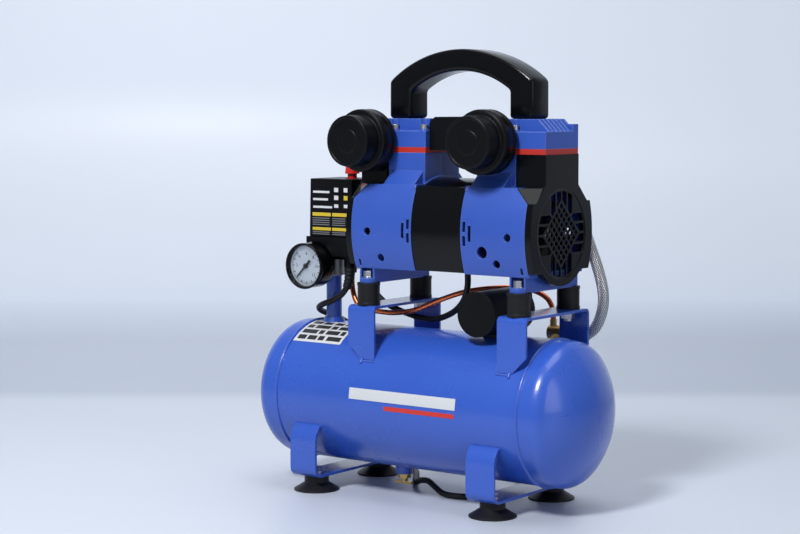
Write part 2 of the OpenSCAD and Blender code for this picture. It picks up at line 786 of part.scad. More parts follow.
// ---- fan covers ----
grille_r = 48;
module cap_outline() {
    circle(56);
    intersection() {
        case_outline(0);
        translate([-100, -40]) square([200, 40 + case_high - chamfer]);
    }
    polygon([
        [-51, case_high - chamfer], [-tower_half_y - 0.5, case_high + 2], [-tower_half_y - 0.5, deck],
        [tower_half_y + 0.5, deck], [tower_half_y + 0.5, case_high + 2], [51, case_high - chamfer]
    ]);
}
// The slanted shoulder between the tower and the fan's housing, on the front.
module cover_shoulder() {
    wide = tower_half_y + 0.5;
    low = case_high - chamfer;
    difference() {
        hull() polyhedron(
            points = [
                [duct_in + 3, -wide, case_high], [case_out + cover_t, -wide, case_high],
                [case_out - chamfer, -52, case_high], [case_out, -57, low],
                [case_out + cover_t, -51, low], [case_out + cover_t, -wide + 3, low],
                [case_out - chamfer, -wide + 3, case_high - 2], [case_out, -wide + 3, low]
            ],
            faces = [[0, 1, 2], [3, 4, 5], [6, 7, 0]]
        );
        along_y(-100, 0) polygon([
            [0, 0], [0, case_high], [case_out - chamfer, case_high], [case_out, low], [case_out, 0]
        ]);
    }
}
module fan_cover() {
    difference() {
        union() {
            along_x(case_out, case_out + cover_t) cap_outline();
            along_y(-tower_half_y - 0.5, tower_half_y + 0.5) polygon([
                [duct_in, case_high], [case_out - chamfer, case_high], [case_out, case_high - chamfer],
                [case_out + 1, case_high - chamfer], [case_out + 1, deck], [duct_in, deck]
            ]);
            cover_shoulder();
            mirror([0, 1, 0]) cover_shoulder();
        }
        block([duct_in + 2.5, -tower_half_y + 2, case_high - chamfer - 10],
              [case_out + cover_t - 2.5, tower_half_y - 2, deck - 2.5]);
        block([duct_in - 1, -26, case_high + 5], [duct_in + 3, 26, deck - 5]);
        rod_x(case_out - 1, case_out + cover_t - 3, 50);
        // the grille is moulded in, a little lower than the face around it
        along_x(case_out, case_out + cover_t + 1) grille_holes();
        rod_x(case_out + cover_t - 0.8, case_out + cover_t + 1, grille_r);
    }
}
// A diamond of square holes in the middle, and four groups of slots that point at it.
module grille_holes() {
    pitch = 7;
    side = 5.3;
    slot_pitch = 11.2;
    slot_half = 4.3;
    rib = 2;
    diamond = 3.5 * pitch * sqrt(2) + 3;
    for (i = [-3 : 3], j = [-3 : 3])
        rotate(45) translate([i * pitch - side / 2, j * pitch - side / 2]) square(side);
    for (a = [0 : 90 : 270]) rotate(a) intersection() {
        circle(grille_r - 2);
        polygon([[rib, 0], [60, 60 - rib], [60, -60 + rib]]);
        polygon([[diamond, 0], [diamond - 60, 60], [60, 60], [60, -60], [diamond - 60, -60]]);
        for (k = [-1.5 : 1 : 1.5]) translate([0, k * slot_pitch - slot_half]) square([60, 2 * slot_half]);
    }
}
module fan_cover_left() {
    color("black") at_pump() on_side("left") fan_cover();
}
module fan_cover_right() {
    color("black") at_pump() fan_cover();
}

// ---- intake filters ----
drum_back = -tower_half_y - 4;
drum_front = drum_back - 23.5;
cap_front = drum_front - 22;
module filter_piece() {
    drum_edge = 3;
    cap_edge = 2;
    drum_len = drum_back - drum_front;
    cap_len = drum_front - cap_front;
    difference() {
        union() {
            rod_y(drum_back, -tower_half_y, 10);
            translate([0, drum_back, 0]) rotate([90, 0, 0]) rotate_extrude() {
                square([filter_r - drum_edge, drum_len]);
                translate([0, drum_edge]) square([filter_r, drum_len - 2 * drum_edge]);
                for (z = [drum_edge, drum_len - drum_edge])
                    translate([filter_r - drum_edge, z]) circle(drum_edge, $fn = 32);
                translate([0, drum_len - 1]) square([filter_cap_r - cap_edge, cap_len + 1]);
                translate([0, drum_len - 1]) square([filter_cap_r, cap_len + 1 - cap_edge]);
                translate([filter_cap_r - cap_edge, drum_len + cap_len - cap_edge])
                    circle(cap_edge, $fn = 32);
            }
        }
        rod_y(drum_front + 2, drum_back - 3, filter_r - 3);
        rod_y(cap_front + 3, drum_front + 3, filter_cap_r - 3);
        rod_y(drum_back - 4, -tower_half_y + 1, 6);
    }
}
module filter_left() {
    color("black") translate([filter_left_x, 0, shaft_z + port_z]) filter_piece();
}
module filter_right() {
    color("black") translate([filter_right_x, 0, shaft_z + port_z]) filter_piece();
}
module filter_foams() {
    color("gold") for (x = [filter_left_x, filter_right_x]) translate([x, 0, shaft_z + port_z]) difference() {
        rod_y(drum_front + 2, drum_back - 3, filter_r - 3);
        rod_y(drum_front + 1, drum_back - 2, 12);
    }
}

// ---- riser, manifold and pressure switch ----
manifold_low = 242;
manifold_h = 20;
block_half = 12;
port_height = manifold_low + manifold_h / 2 + 3;
gauge_x = riser_x - 5;
riser_low = tank_top - tank_wall - 6;
module riser_pipe() {
    color("royalblue") translate([riser_x, 0, 0]) {
        difference() {
            translate([0, 0, riser_low]) cylinder(h = manifold_low - riser_low, r = riser_r);
            translate([0, 0, tank_top - 20]) cylinder(h = manifold_low, r = riser_r - 3);
        }
        // weld collar, which fits the tank's curve
        difference() {
            translate([0, 0, tank_top - 4]) cylinder(h = 9, r1 = riser_r + 5, r2 = riser_r + 2);
            translate([0, 0, tank_z]) rod_x(-30, 30, tank_r, $fn = 128);
            translate([0, 0, tank_top - 20]) cylinder(h = 40, r = riser_r - 1);
        }
    }
}
coupler_r = 6;
outlet_flange_r = 9;
module manifold() {
    color("gray") translate([riser_x, 0, 0]) difference() {
        union() {
            block([-block_half, -block_half, manifold_low],
                  [block_half, block_half, manifold_low + manifold_h]);
            translate([0, 0, manifold_low]) cylinder(h = manifold_h, r = block_half + 1);
        }
        translate([0, 0, manifold_low - 1]) cylinder(h = manifold_h + 2, r = 5);
        translate([0, 0, port_height]) {
            rod_y(-block_half - 2, block_half + 2, coupler_r);
            rod_x(-block_half - 2, 0, coupler_r);
        }
    }
}
base_low = manifold_low + manifold_h;
base_h = 26;
gland_low = base_low - 9;
switch_x = riser_x + 18;
knob_x = switch_x + 9.5;
cord_gland = [switch_x + 17, -15];
motor_gland = [switch_x + 20, 18];
module switch_base() {
    color("black") difference() {
        union() {
            block([switch_x - switch_w / 2 - 3, -switch_d / 2 - 2, base_low + 4],
                  [switch_x + switch_w / 2 + 3, switch_d / 2 + 2, base_low + base_h]);
            block([switch_x - switch_w / 2 + 3, -switch_d / 2 + 8, base_low],
                  [switch_x + switch_w / 2 - 3, switch_d / 2 - 8, base_low + 5]);
            // unloader valve, under the knob
            translate([knob_x, 0, base_low - 16]) cylinder(h = 17, r = 5);
            // cable glands
            for (p = [cord_gland, motor_gland]) translate([p.x, p.y, gland_low]) cylinder(h = 14, r = 6.5);
        }
        block([switch_x - switch_w / 2 + 3, gauge_back + 9, base_low + 8],
              [switch_x + switch_w / 2 - 3, switch_d / 2 - 4, base_low + base_h + 1]);
        // room for the gauge
        translate([gauge_x, 0, port_height]) rod_y(-switch_d, gauge_back + 1, gauge_r + 1);
        // room for the outlet's nut and flange
        translate([riser_x, 0, port_height]) rod_y(block_half + 0.5, switch_d, outlet_flange_r + 1);
        translate([riser_x, 0, base_low - 1]) cylinder(h = 20, r = 5);
        translate([knob_x, 0, base_low - 17]) cylinder(h = 16, r = 3);
    }
}
cover_low = base_low + base_h;
cover_high = cover_low + switch_h;
stem_r = 5.5;
module switch_cover() {
    wall = 2.5;
    color("black") difference() {
        block([switch_x - switch_w / 2, -switch_d / 2, cover_low],
              [switch_x + switch_w / 2, switch_d / 2, cover_high]);
        block([switch_x - switch_w / 2 + wall, -switch_d / 2 + wall, cover_low - 1],
              [switch_x + switch_w / 2 - wall, switch_d / 2 - wall, cover_high - wall]);
        translate([knob_x, 0, cover_high - 10]) cylinder(h = 20, r = stem_r + 0.1);
    }
}
module switch_knob() {
    color("red") translate([knob_x, 0, cover_high]) {
        translate([0, 0, -12]) cylinder(h = knob_travel + 13, r = stem_r);
        // the cap clears the cover by half a millimetre when it is pushed down
        translate([0, 0, knob_travel + 0.5]) cylinder(h = 9.5, r1 = 8.5, r2 = 7.5);
    }
}

// ---- pressure gauge ----
gauge_back = -block_half - 9;
gauge_front = gauge_back - gauge_d;
dial_r = gauge_r - 3;
module gauge_case() {
    color("black") translate([gauge_x, 0, port_height]) difference() {
        union() {
            rod_y(gauge_front, gauge_back, gauge_r);
            translate([5, 0, 0]) rod_y(gauge_back - 1, -block_half - 1, 7, $fn = 48);
            translate([5, 0, 0]) rod_y(-block_half - 1 - eps, 0, coupler_r);
        }
        rod_y(gauge_front - 1, gauge_front + 2, gauge_r - 2);
        rod_y(gauge_front + 1, gauge_front + 10, dial_r);
        block([-10, -block_half + 10, -30], [20, 40, 30]);
    }
}
module gauge_dial() {
    color("white") translate([gauge_x, 0, port_height]) difference() {
        rod_y(gauge_front + 7, gauge_front + 8.5, dial_r);
        rod_y(gauge_front + 6, gauge_front + 9, 1.2);
    }
}
module gauge_needle() {
    // at rest the needle points down and to the left, at nought
    color("black") translate([gauge_x, 0, port_height]) rotate([0, -45, 0]) {
        rod_y(gauge_front + 3.5, gauge_front + 8.4, 1.1);
        rod_y(gauge_front + 4.5, gauge_front + 5.5, 3);
        along_y(gauge_front + 4.5, gauge_front + 5.3) polygon([[9, 1.4], [-17, 0.5], [-17, -0.5], [9, -1.4]]);
    }
}
module gauge_lens() {
    color("lightblue") translate([gauge_x, 0, port_height])
        rod_y(gauge_front + 0.5, gauge_front + 2, gauge_r - 2);
}

// ---- safety valve and outlet ----
module safety_valve() {
    color("goldenrod") translate([riser_x, 0, port_height]) difference() {
        union() {
            rod_x(-block_half - 4, -8, coupler_r);
            translate([-block_half - 8, 0, 0]) rotate([0, 90, 0]) hexagon(14, 6);
            rod_x(-block_half - 24, -block_half - 8, 6);
        }
        rod_x(-block_half - 30, -block_half - 6, 2);
    }
}
// The ring is pulled by hand to let the air out.
module safety_ring() {
    ring_r = 7;
    color("silver") translate([riser_x - block_half - 24, 0, port_height]) {
        rod_x(-4, 12, 2 - run_gap);
        translate([-3.5 - ring_r, 0, 0]) rotate([90, 0, 0]) rotate_extrude()
            translate([ring_r, 0]) circle(1, $fn = 24);
    }
}
coupler_bore = 3.8;
module outlet_coupler() {
    color("goldenrod") translate([riser_x, 0, port_height]) difference() {
        union() {
            rod_y(8, block_half + 4, coupler_r);
            translate([0, block_half + 8, 0]) rotate([90, 0, 0]) hexagon(14, 6);
            rod_y(block_half + 8, block_half + 38, 7);
            rod_y(block_half + 8, block_half + 11, outlet_flange_r);
            rod_y(block_half + 36, block_half + 38, outlet_flange_r);
        }
        rod_y(7, block_half + 39, coupler_bore);
    }
}
// The sleeve slides back this far to let a plug go.
sleeve_travel = 4;
module coupler_sleeve() {
    sleeve_back = block_half + 12 + sleeve_travel;
    color("silver") translate([riser_x, 0, port_height]) difference() {
        rod_y(sleeve_back, block_half + 35.5, 10);
        rod_y(sleeve_back - 1, block_half + 37, 7 + run_gap);
        for (y = [3, 7, 11, 15]) translate([0, sleeve_back + y, 0]) difference() {
            rod_y(0, 1.2, 12);
            rod_y(-1, 3, 9.4);
        }
    }
}

// ---- check valve, delivery hose and unloader tube ----
check_y = tank_r - 6;
check_z = tank_top - 3;
discharge_x = pump_x + discharge_u;
module check_valve() {
    color("goldenrod") {
        difference() {
            union() {
                // neck, welded on the tank at a slant
                translate([check_x, 0, tank_z]) rotate([-check_angle, 0, 0]) cylinder(h = tank_r + 24, r = 8);
                translate([check_x, check_y, check_z]) rod_x(-12, 12, 8.5);
            }
            translate([0, 0, tank_z]) rod_x(check_x - 30, check_x + 30, tank_r, $fn = 128);
            translate([check_x, 0, tank_z]) rotate([-check_angle, 0, 0])
                cylinder(h = tank_r + 20, r = port_r);
        }
        translate([check_x + 12, check_y, check_z]) rotate([0, 90, 0]) hexagon(15, 7);
        translate([check_x - 8, check_y, check_z + 7]) cylinder(h = 8, r = 4);
    }
}
hose_r = 6.2;
// A route whose two ends are held: each point moves with them, the more the nearer it is.
function held(route, from, to) = [
    for (i = [0 : len(route) - 1]) let (t = i / (len(route) - 1))
        route[i] + (1 - t) * (from - route[0]) + t * (to - route[len(route) - 1])
];
hose_route = [
    [124, 32.5, 400], [124, 42, 400], [124.5, 50, 397.5], [125, 56, 390],
    [126, 59, 378], [129, 63, 362], [135, 68, 344], [144, 71.5, 324], [154, 72, 303], [164, 71, 281],
    [174, 69, 259], [181, 67, 239], [182, 67, 222], [177, 69, 206], [168, 72, 193],
    [156, 74, 186], [140.5, 74, 185]
];
module delivery_hose() {
    path = held(hose_route, [discharge_x, tower_half_y, shaft_z + port_z], [check_x + 19, check_y, check_z]);
    color("silver") sweep(smooth(path, 2), hose_r, 12);
}
tube_r = 3;
tube_route = [
    [-114.5, 0, 246], [-114.5, -1, 236], [-111, -3, 223], [-103, -6, 212], [-90, -6, 205.5], [-74, -4, 203.5],
    [-52, 0, 203], [-27, 4, 207.5], [2, 12, 220], [26, 22, 229], [46, 38, 233], [68, 57, 234], [90, 69, 231],
    [105, 73.5, 223], [112, 74, 212], [113.5, 74, 200]
];
module unloader_tube() {
    path = held(tube_route, [knob_x, 0, base_low - 16], [check_x - 8, check_y, check_z + 15]);
    color("peru") sweep(smooth(path, 3), tube_r, 8);
}

// ---- capacitor, cables and cord ----
cap_x = 90;
cap_r = 24.7;
cap_front_y = -45;
cap_back_y = 34;
cap_z = tank_top + cap_r + 1.3;
module capacitor() {
    cradle_half = 15;
    color("black") {
        translate([cap_x, 0, cap_z]) rod_y(cap_front_y, cap_back_y, cap_r);
        // cradle on the tank's curve
        difference() {
            block([cap_x - 12, -cradle_half, tank_top - 8], [cap_x + 12, cradle_half, tank_top + 6]);
            translate([0, 0, tank_z]) rod_x(cap_x - 20, cap_x + 20, tank_r, $fn = 128);
        }
        // terminals
        for (x = [-7, 7]) translate([cap_x + x, 0, cap_z + 4]) rod_y(cap_back_y - 2, cap_back_y + 6, 2.2);
    }
}
cable_r = 3.5;
motor_route = [
    [-104, 18, 253], [-103.5, 18.3, 238], [-95, 19, 222], [-82, 20, 211], [-66, 20.5, 204.5], [-48, 20, 200],
    [-30, 18.5, 197], [-10, 15, 197], [10, 10.5, 202], [28, 6.5, 211], [41, 3, 224], [47, 1, 240],
    [47.5, 0, 259]
];
module motor_cable() {
    path = held(motor_route, [motor_gland.x, motor_gland.y, gland_low], [pump_x, 0, shaft_z - case_low + 1]);
    color("black") sweep(smooth(path, 3), cable_r, 8);
}
cord_r = 3.5;
// The mains lead: down the back of the tank, under it, and round to its coil.
cord_route = [
    [-107, -15, 253], [-107.5, -15, 241], [-111, -16, 229.5], [-119, -17, 220], [-131, -18, 213.5],
    [-144, -17, 209], [-156, -10.5, 204], [-163.5, 2, 198.5], [-165, 17, 193.5], [-163, 34, 187.5],
    [-160, 53, 176], [-158, 72, 154], [-156, 84, 124], [-154, 87, 92], [-153, 87, 62], [-150, 89, 36],
    [-141, 94, 15], [-124, 99, 5], [-104, 96, 3.6], [-85, 83, 3.6], [-68, 62, 3.6], [-52, 38, 3.6],
    [-38, 20, 5.5], [-24, 11, 10.5], [-9, 4, 12.5], [6, -4, 9], [22, -10, 4.2], [42, -10, 3.6],
    [62, 2, 3.6], [75, 24, 3.6], [78, 54, 3.6], [68, 84, 3.6], [44, 110, 3.6], [10, 126, 3.6],
    [-30, 133, 3.6], [-52, 134, 3.6]
];
module power_cord() {
    path = held(cord_route, [cord_gland.x, cord_gland.y, gland_low], cord_route[len(cord_route) - 1]);
    color("black") sweep(smooth(path, 2), cord_r, 8);
}
coil_place = [-75, 172];
coil_r = 38;
coil_bundle_r = 10.5;
module cord_coil() {
    color("black") translate([coil_place.x, coil_place.y, coil_bundle_r])
        rotate_extrude() translate([coil_r, 0]) circle(coil_bundle_r);
}
plug_z = 9.5;
module plug() {
    relief_x = coil_place.x + 24;
    body_x = relief_x + 26;
    color("black") translate([0, coil_place.y + coil_r, plug_z]) {
        translate([relief_x, 0, 0]) rotate([0, 90, 0]) cylinder(h = 27, r1 = 4.5, r2 = 7);
        translate([body_x, 0, -9]) linear_extrude(18) polygon([
            [0, -9], [12, -15], [36, -18], [38, -16], [38, 16], [36, 18], [12, 15], [0, 9]
        ]);
    }
    color("silver") translate([body_x + 38, coil_place.y + coil_r, plug_z])
        for (y = [-9.5, 9.5]) translate([0, y, 0]) rod_x(-4, 19, 2.4);
}

tank_shell();
tank_end_left();
tank_end_right();
drain_valve();
foot_strap_left();
foot_strap_right();
suction_feet();
foot_bolts();
saddle_left();
saddle_right();
dampers();
damper_nuts();
lug_bolts();
crankcase_left();
crankcase_right();
stator_cover();
stator_core();
windings();
bearings();
shaft();
rotor();
eccentrics();
fans();
rod_left();
rod_right();
piston_left();
piston_right();
cylinder_sleeves();
valve_plates();
head_left();
head_right();
head_screws();
air_duct();
handle();
fan_cover_left();
fan_cover_right();
filter_left();
filter_right();
filter_foams();
riser_pipe();
manifold();
switch_base();
switch_cover();
switch_knob();
gauge_case();
gauge_dial();
gauge_needle();
gauge_lens();
safety_valve();
safety_ring();
outlet_coupler();
coupler_sleeve();
check_valve();
delivery_hose();
unloader_tube();
capacitor();
motor_cable();
power_cord();
cord_coil();
plug();
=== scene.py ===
# %% [markdown]
# # A twin-cylinder workshop compressor
# The pump, the tank and every bracket come from the imported CAD frame. This script adds what CAD
# doesn't give: enamel, moulded plastic, braid and rubber, the soft run of the cords, the printed
# dial and labels, rounded mouldings and weld beads. It starts by loading the frame.

# %% Load the frame
import json
import math

import bmesh
import bpy
from mathutils import Matrix, Vector


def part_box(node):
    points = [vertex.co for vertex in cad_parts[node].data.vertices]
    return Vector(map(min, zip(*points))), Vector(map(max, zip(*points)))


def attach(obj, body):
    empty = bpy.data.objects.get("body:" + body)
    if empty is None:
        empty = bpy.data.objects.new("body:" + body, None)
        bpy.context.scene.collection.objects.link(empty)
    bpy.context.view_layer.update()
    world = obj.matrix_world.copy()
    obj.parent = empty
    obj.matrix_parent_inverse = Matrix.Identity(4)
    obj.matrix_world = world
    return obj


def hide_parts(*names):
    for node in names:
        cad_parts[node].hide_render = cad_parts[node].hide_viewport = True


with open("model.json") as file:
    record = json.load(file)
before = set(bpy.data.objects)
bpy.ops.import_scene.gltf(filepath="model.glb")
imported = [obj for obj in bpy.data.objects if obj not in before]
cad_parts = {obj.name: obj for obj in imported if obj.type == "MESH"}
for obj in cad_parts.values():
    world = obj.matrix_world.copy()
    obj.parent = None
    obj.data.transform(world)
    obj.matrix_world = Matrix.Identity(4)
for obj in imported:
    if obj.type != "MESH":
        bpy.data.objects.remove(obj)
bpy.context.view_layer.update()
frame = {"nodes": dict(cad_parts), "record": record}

MM = 0.001

# %% [markdown]
# ## Camera
# A long lens a little above the tank gives nearly parallel edges, as product pictures have. The
# place and angles are fixed numbers, so that every later view starts from the same one.

# %% Camera
lens = bpy.data.cameras.new("lens")
lens.sensor_width = 36.0
lens.lens = 85.35
camera = bpy.data.objects.new("camera", lens)
camera.location = (1.2394, -1.7240, 0.4434)
camera.rotation_euler = (math.radians(90 - 4.99), math.radians(0.07), math.radians(36.7))
bpy.context.scene.collection.objects.link(camera)
bpy.context.scene.camera = camera
print("camera at", tuple(camera.location))

# %% [markdown]
# ## Building meshes
# Most pieces here are made in bmesh from a few plain ideas: turn an outline round an axis, push an
# outline sideways, or carry a ring along a route. Each helper returns a bmesh, and `piece` turns it
# into a finished object: smooth where it is round, sharp at its corners, riding on a CAD body.

# %% From bmesh to a finished piece
def piece(name, bm, material, body="base", stands_for=(), corner=35.0, bevel=0.0, steps=3):
    bmesh.ops.remove_doubles(bm, verts=bm.verts, dist=1e-6)
    bmesh.ops.recalc_face_normals(bm, faces=bm.faces)
    mesh = bpy.data.meshes.new(name)
    bm.to_mesh(mesh)
    bm.free()
    obj = bpy.data.objects.new(name, mesh)
    bpy.context.scene.collection.objects.link(obj)
    mesh.materials.append(material)
    finish_edges(obj, corner, bevel, steps)
    if stands_for:
        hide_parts(*stands_for)
    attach(obj, body)
    return obj


def finish_edges(obj, corner, bevel, steps):
    """Rounds the sharp edges, then shades smooth with a crease wherever faces meet steeply."""
    if bevel:
        round_off = obj.modifiers.new("edges", "BEVEL")
        round_off.width = bevel
        round_off.segments = steps
        round_off.limit_method = "ANGLE"
        round_off.angle_limit = math.radians(corner)
        round_off.use_clamp_overlap = True
        bake_modifiers(obj)
    mesh = obj.data
    mesh.polygons.foreach_set("use_smooth", [True] * len(mesh.polygons))
    bm = bmesh.new()
    bm.from_mesh(mesh)
    for edge in bm.edges:
        flat = len(edge.link_faces) == 2 and edge.calc_face_angle(0.0) < math.radians(corner)
        edge.smooth = flat
    bm.to_mesh(mesh)
    bm.free()


def bake_modifiers(obj):
    """Turns what the modifiers show into the object's own mesh, and takes the modifiers away."""
    graph = bpy.context.evaluated_depsgraph_get()
    mesh = bpy.data.meshes.new_from_object(obj.evaluated_get(graph))
    old = obj.data
    obj.modifiers.clear()
    obj.data = mesh
    bpy.data.meshes.remove(old)


# %% Turn an outline round an axis
def lathe(outline, centre, axis, sides=96):
    """outline is [(radius, distance along the axis)], closed; it is turned about the axis."""
    bm = bmesh.new()
    rings = []
    for k in range(sides):
        a = 2 * math.pi * k / sides
        ring = []
        for r, d in outline:
            p = {"x": (d, r * math.cos(a), r * math.sin(a)),
                 "y": (r * math.cos(a), d, r * math.sin(a)),
                 "z": (r * math.cos(a), r * math.sin(a), d)}[axis]
            ring.append(bm.verts.new(Vector(p) + Vector(centre)))
        rings.append(ring)
    n = len(outline)
    for k in range(sides):
        here, there = rings[k], rings[(k + 1) % sides]
        for i in range(n):
            j = (i + 1) % n
            if outline[i][0] < 1e-7 and outline[j][0] < 1e-7:
                continue
            corners = [here[i], here[j], there[j], there[i]]
            if outline[i][0] < 1e-7:
                corners = [here[i], here[j], there[j]]
            if outline[j][0] < 1e-7:
                corners = [here[i], here[j], there[i]]
            bm.faces.new(corners)
    bmesh.ops.remove_doubles(bm, verts=bm.verts, dist=1e-7)
    return bm


# %% Push an outline sideways
def slab(outline, low, high, axis):
    """outline is a closed loop in the plane across the axis; it is pushed from low to high."""
    bm = bmesh.new()

    def place(p, d):
        return {"x": (d, p[0], p[1]), "y": (p[0], d, p[1]), "z": (p[0], p[1], d)}[axis]

    near = [bm.verts.new(place(p, low)) for p in outline]
    far = [bm.verts.new(place(p, high)) for p in outline]
    bm.faces.new(near)
    bm.faces.new(list(reversed(far)))
    for i in range(len(outline)):
        j = (i + 1) % len(outline)
        bm.faces.new([near[j], near[i], far[i], far[j]])
    return bm


def join(*parts):
    """Puts several bmeshes into the first one."""
    whole = parts[0]
    for part in parts[1:]:
        scratch = bpy.data.meshes.new("scratch")
        part.to_mesh(scratch)
        part.free()
        whole.from_mesh(scratch)
        bpy.data.meshes.remove(scratch)
    return whole


# %% [markdown]
# ## Routes and tubes
# A hose or cable is a ring carried along a smooth route. The sideways direction is handed on from
# ring to ring, so the skin doesn't twist, and the UV map runs in metres round and along the tube,
# which lets a braid or a ribbed pattern follow every bend at its true size.

# %% A smooth route, and a ring carried along it
def smooth_route(points, steps):
    p = [Vector(q) for q in points]
    last = len(p) - 1
    route = []
    for i in range(last):
        a, b, c, d = p[max(i - 1, 0)], p[i], p[i + 1], p[min(i + 2, last)]
        for s in range(steps):
            t = s / steps
            route.append(0.5 * (2 * b + (c - a) * t + (2 * a - 5 * b + 4 * c - d) * t * t
                                + (3 * b - a - 3 * c + d) * t ** 3))
    route.append(p[last])
    return route


def route_length(route):
    return sum((b - a).length for a, b in zip(route, route[1:]))


def tube(route, radius, sides=16):
    """radius is one number, or a function of the distance along the route."""
    bm = bmesh.new()
    uv = bm.loops.layers.uv.new("around_along")
    side = None
    along = 0.0
    rings, marks = [], []
    for i, p in enumerate(route):
        ahead = (route[min(i + 1, len(route) - 1)] - route[max(i - 1, 0)]).normalized()
        if side is None:
            side = ahead.cross(Vector((0, 0, 1)) if abs(ahead.z) < 0.9 else Vector((0, 1, 0)))
        else:
            along += (p - route[i - 1]).length
            side = side - side.dot(ahead) * ahead
        side.normalize()
        up = ahead.cross(side)
        r = radius(along) if callable(radius) else radius
        rings.append([bm.verts.new(p + r * (math.cos(2 * math.pi * k / sides) * side
                                            + math.sin(2 * math.pi * k / sides) * up))
                      for k in range(sides)])
        marks.append(along)
    width = 2 * math.pi * (radius(0) if callable(radius) else radius)
    for i in range(len(rings) - 1):
        for k in range(sides):
            face = bm.faces.new([rings[i][k], rings[i][(k + 1) % sides],
                                 rings[i + 1][(k + 1) % sides], rings[i + 1][k]])
            for loop, (u, v) in zip(face.loops, [(k, i), (k + 1, i), (k + 1, i + 1), (k, i + 1)]):
                loop[uv].uv = (width * u / sides, marks[v])
    bm.faces.new(list(reversed(rings[0])))
    bm.faces.new(rings[-1])
    return bm


# %% [markdown]
# ## Surfaces
# One node group, shared by every painted, cast or moulded material, gives three things: slightly
# rounded edges (the Bevel node bends the normal near a corner), a fine grain, and two masks: one
# along the edges, where the colour lightens for wear and for a painted edge highlight, and one of
# slow, cloudy variation.

# %% The shared surface group
def surface_group():
    tree = bpy.data.node_groups.new("surface", "ShaderNodeTree")
    for label, value in (("Edge radius", 0.0006), ("Grain scale", 900.0), ("Grain depth", 0.00003),
                         ("Cloud scale", 9.0)):
        made = tree.interface.new_socket(name=label, in_out="INPUT", socket_type="NodeSocketFloat")
        made.default_value = value
    tree.interface.new_socket(name="Normal", in_out="OUTPUT", socket_type="NodeSocketVector")
    for label in ("Edge", "Cloud"):
        tree.interface.new_socket(name=label, in_out="OUTPUT", socket_type="NodeSocketFloat")
    n, link = tree.nodes, tree.links.new
    given, result = n.new("NodeGroupInput"), n.new("NodeGroupOutput")
    place = n.new("ShaderNodeTexCoord")
    bevel = n.new("ShaderNodeBevel")
    bevel.samples = 6
    link(given.outputs["Edge radius"], bevel.inputs["Radius"])
    plain = n.new("ShaderNodeNewGeometry")
    turn = n.new("ShaderNodeVectorMath")
    turn.operation = "DOT_PRODUCT"
    link(bevel.outputs["Normal"], turn.inputs[0])
    link(plain.outputs["Normal"], turn.inputs[1])
    # the edge mask, where the colour lightens for wear and for a painted edge highlight
    edge = n.new("ShaderNodeMapRange")
    edge.inputs["From Min"].default_value = 0.985
    edge.inputs["From Max"].default_value = 0.80
    link(turn.outputs["Value"], edge.inputs["Value"])
    grain = n.new("ShaderNodeTexNoise")
    grain.inputs["Detail"].default_value = 3.0
    link(place.outputs["Object"], grain.inputs["Vector"])
    link(given.outputs["Grain scale"], grain.inputs["Scale"])
    bump = n.new("ShaderNodeBump")
    bump.inputs["Strength"].default_value = 1.0
    link(given.outputs["Grain depth"], bump.inputs["Distance"])
    link(grain.outputs["Fac"], bump.inputs["Height"])
    link(bevel.outputs["Normal"], bump.inputs["Normal"])
    cloud = n.new("ShaderNodeTexNoise")
    cloud.inputs["Detail"].default_value = 5.0
    cloud.inputs["Roughness"].default_value = 0.6
    link(place.outputs["Object"], cloud.inputs["Vector"])
    link(given.outputs["Cloud scale"], cloud.inputs["Scale"])
    link(bump.outputs["Normal"], result.inputs["Normal"])
    link(edge.outputs["Result"], result.inputs["Edge"])
    link(cloud.outputs["Fac"], result.inputs["Cloud"])
    return tree


SURFACE = surface_group()
print("shared group:", SURFACE.name, "with", len(SURFACE.nodes), "nodes")


# %% A finish made with the shared group
def finish(name, colour, worn_and_lit_edge, rough, edge=0.0006, grain=900.0, depth=0.00003, cloud=9.0,
           metal=0.0, coat=0.0, coat_rough=0.1, level=0.5, edge_wear_and_highlight=0.35, shade=0.10):
    """colour runs to worn_and_lit_edge along the edges, for wear and a painted edge highlight; rough is
    (smoothest, roughest) over the clouds.
    """
    mat = bpy.data.materials.new(name)
    mat.use_nodes = True
    n, link = mat.node_tree.nodes, mat.node_tree.links.new
    shader = n["Principled BSDF"]
    for label, value in (("Metallic", metal), ("Specular IOR Level", level), ("Coat Weight", coat),
                         ("Coat Roughness", coat_rough)):
        shader.inputs[label].default_value = value
    group = n.new("ShaderNodeGroup")
    group.node_tree = SURFACE
    for label, value in (("Edge radius", edge), ("Grain scale", grain), ("Grain depth", depth),
                         ("Cloud scale", cloud)):
        group.inputs[label].default_value = value

    def over_clouds(low, high):
        """A value that runs from low to high as the clouds thicken."""
        spread = n.new("ShaderNodeMapRange")
        for label, value in (("From Min", 0.3), ("From Max", 0.7), ("To Min", low), ("To Max", high)):
            spread.inputs[label].default_value = value
        link(group.outputs["Cloud"], spread.inputs["Value"])
        return spread.outputs["Result"]

    clouded = n.new("ShaderNodeVectorMath")
    clouded.operation = "SCALE"
    clouded.inputs[0].default_value = colour
    link(over_clouds(1.0 - shade, 1.0 + shade), clouded.inputs["Scale"])
    # wear and a painted edge highlight: along the edges the colour runs to a lighter one
    amount = n.new("ShaderNodeMath")
    amount.operation = "MULTIPLY"
    amount.inputs[1].default_value = edge_wear_and_highlight
    link(group.outputs["Edge"], amount.inputs[0])
    mix = n.new("ShaderNodeMix")
    mix.data_type = "RGBA"
    mix.inputs[7].default_value = (*worn_and_lit_edge, 1)
    link(amount.outputs["Value"], mix.inputs[0])
    link(clouded.outputs["Vector"], mix.inputs[6])
    link(mix.outputs[2], shader.inputs["Base Color"])
    link(over_clouds(*rough), shader.inputs["Roughness"])
    link(group.outputs["Normal"], shader.inputs["Normal"])
    return mat


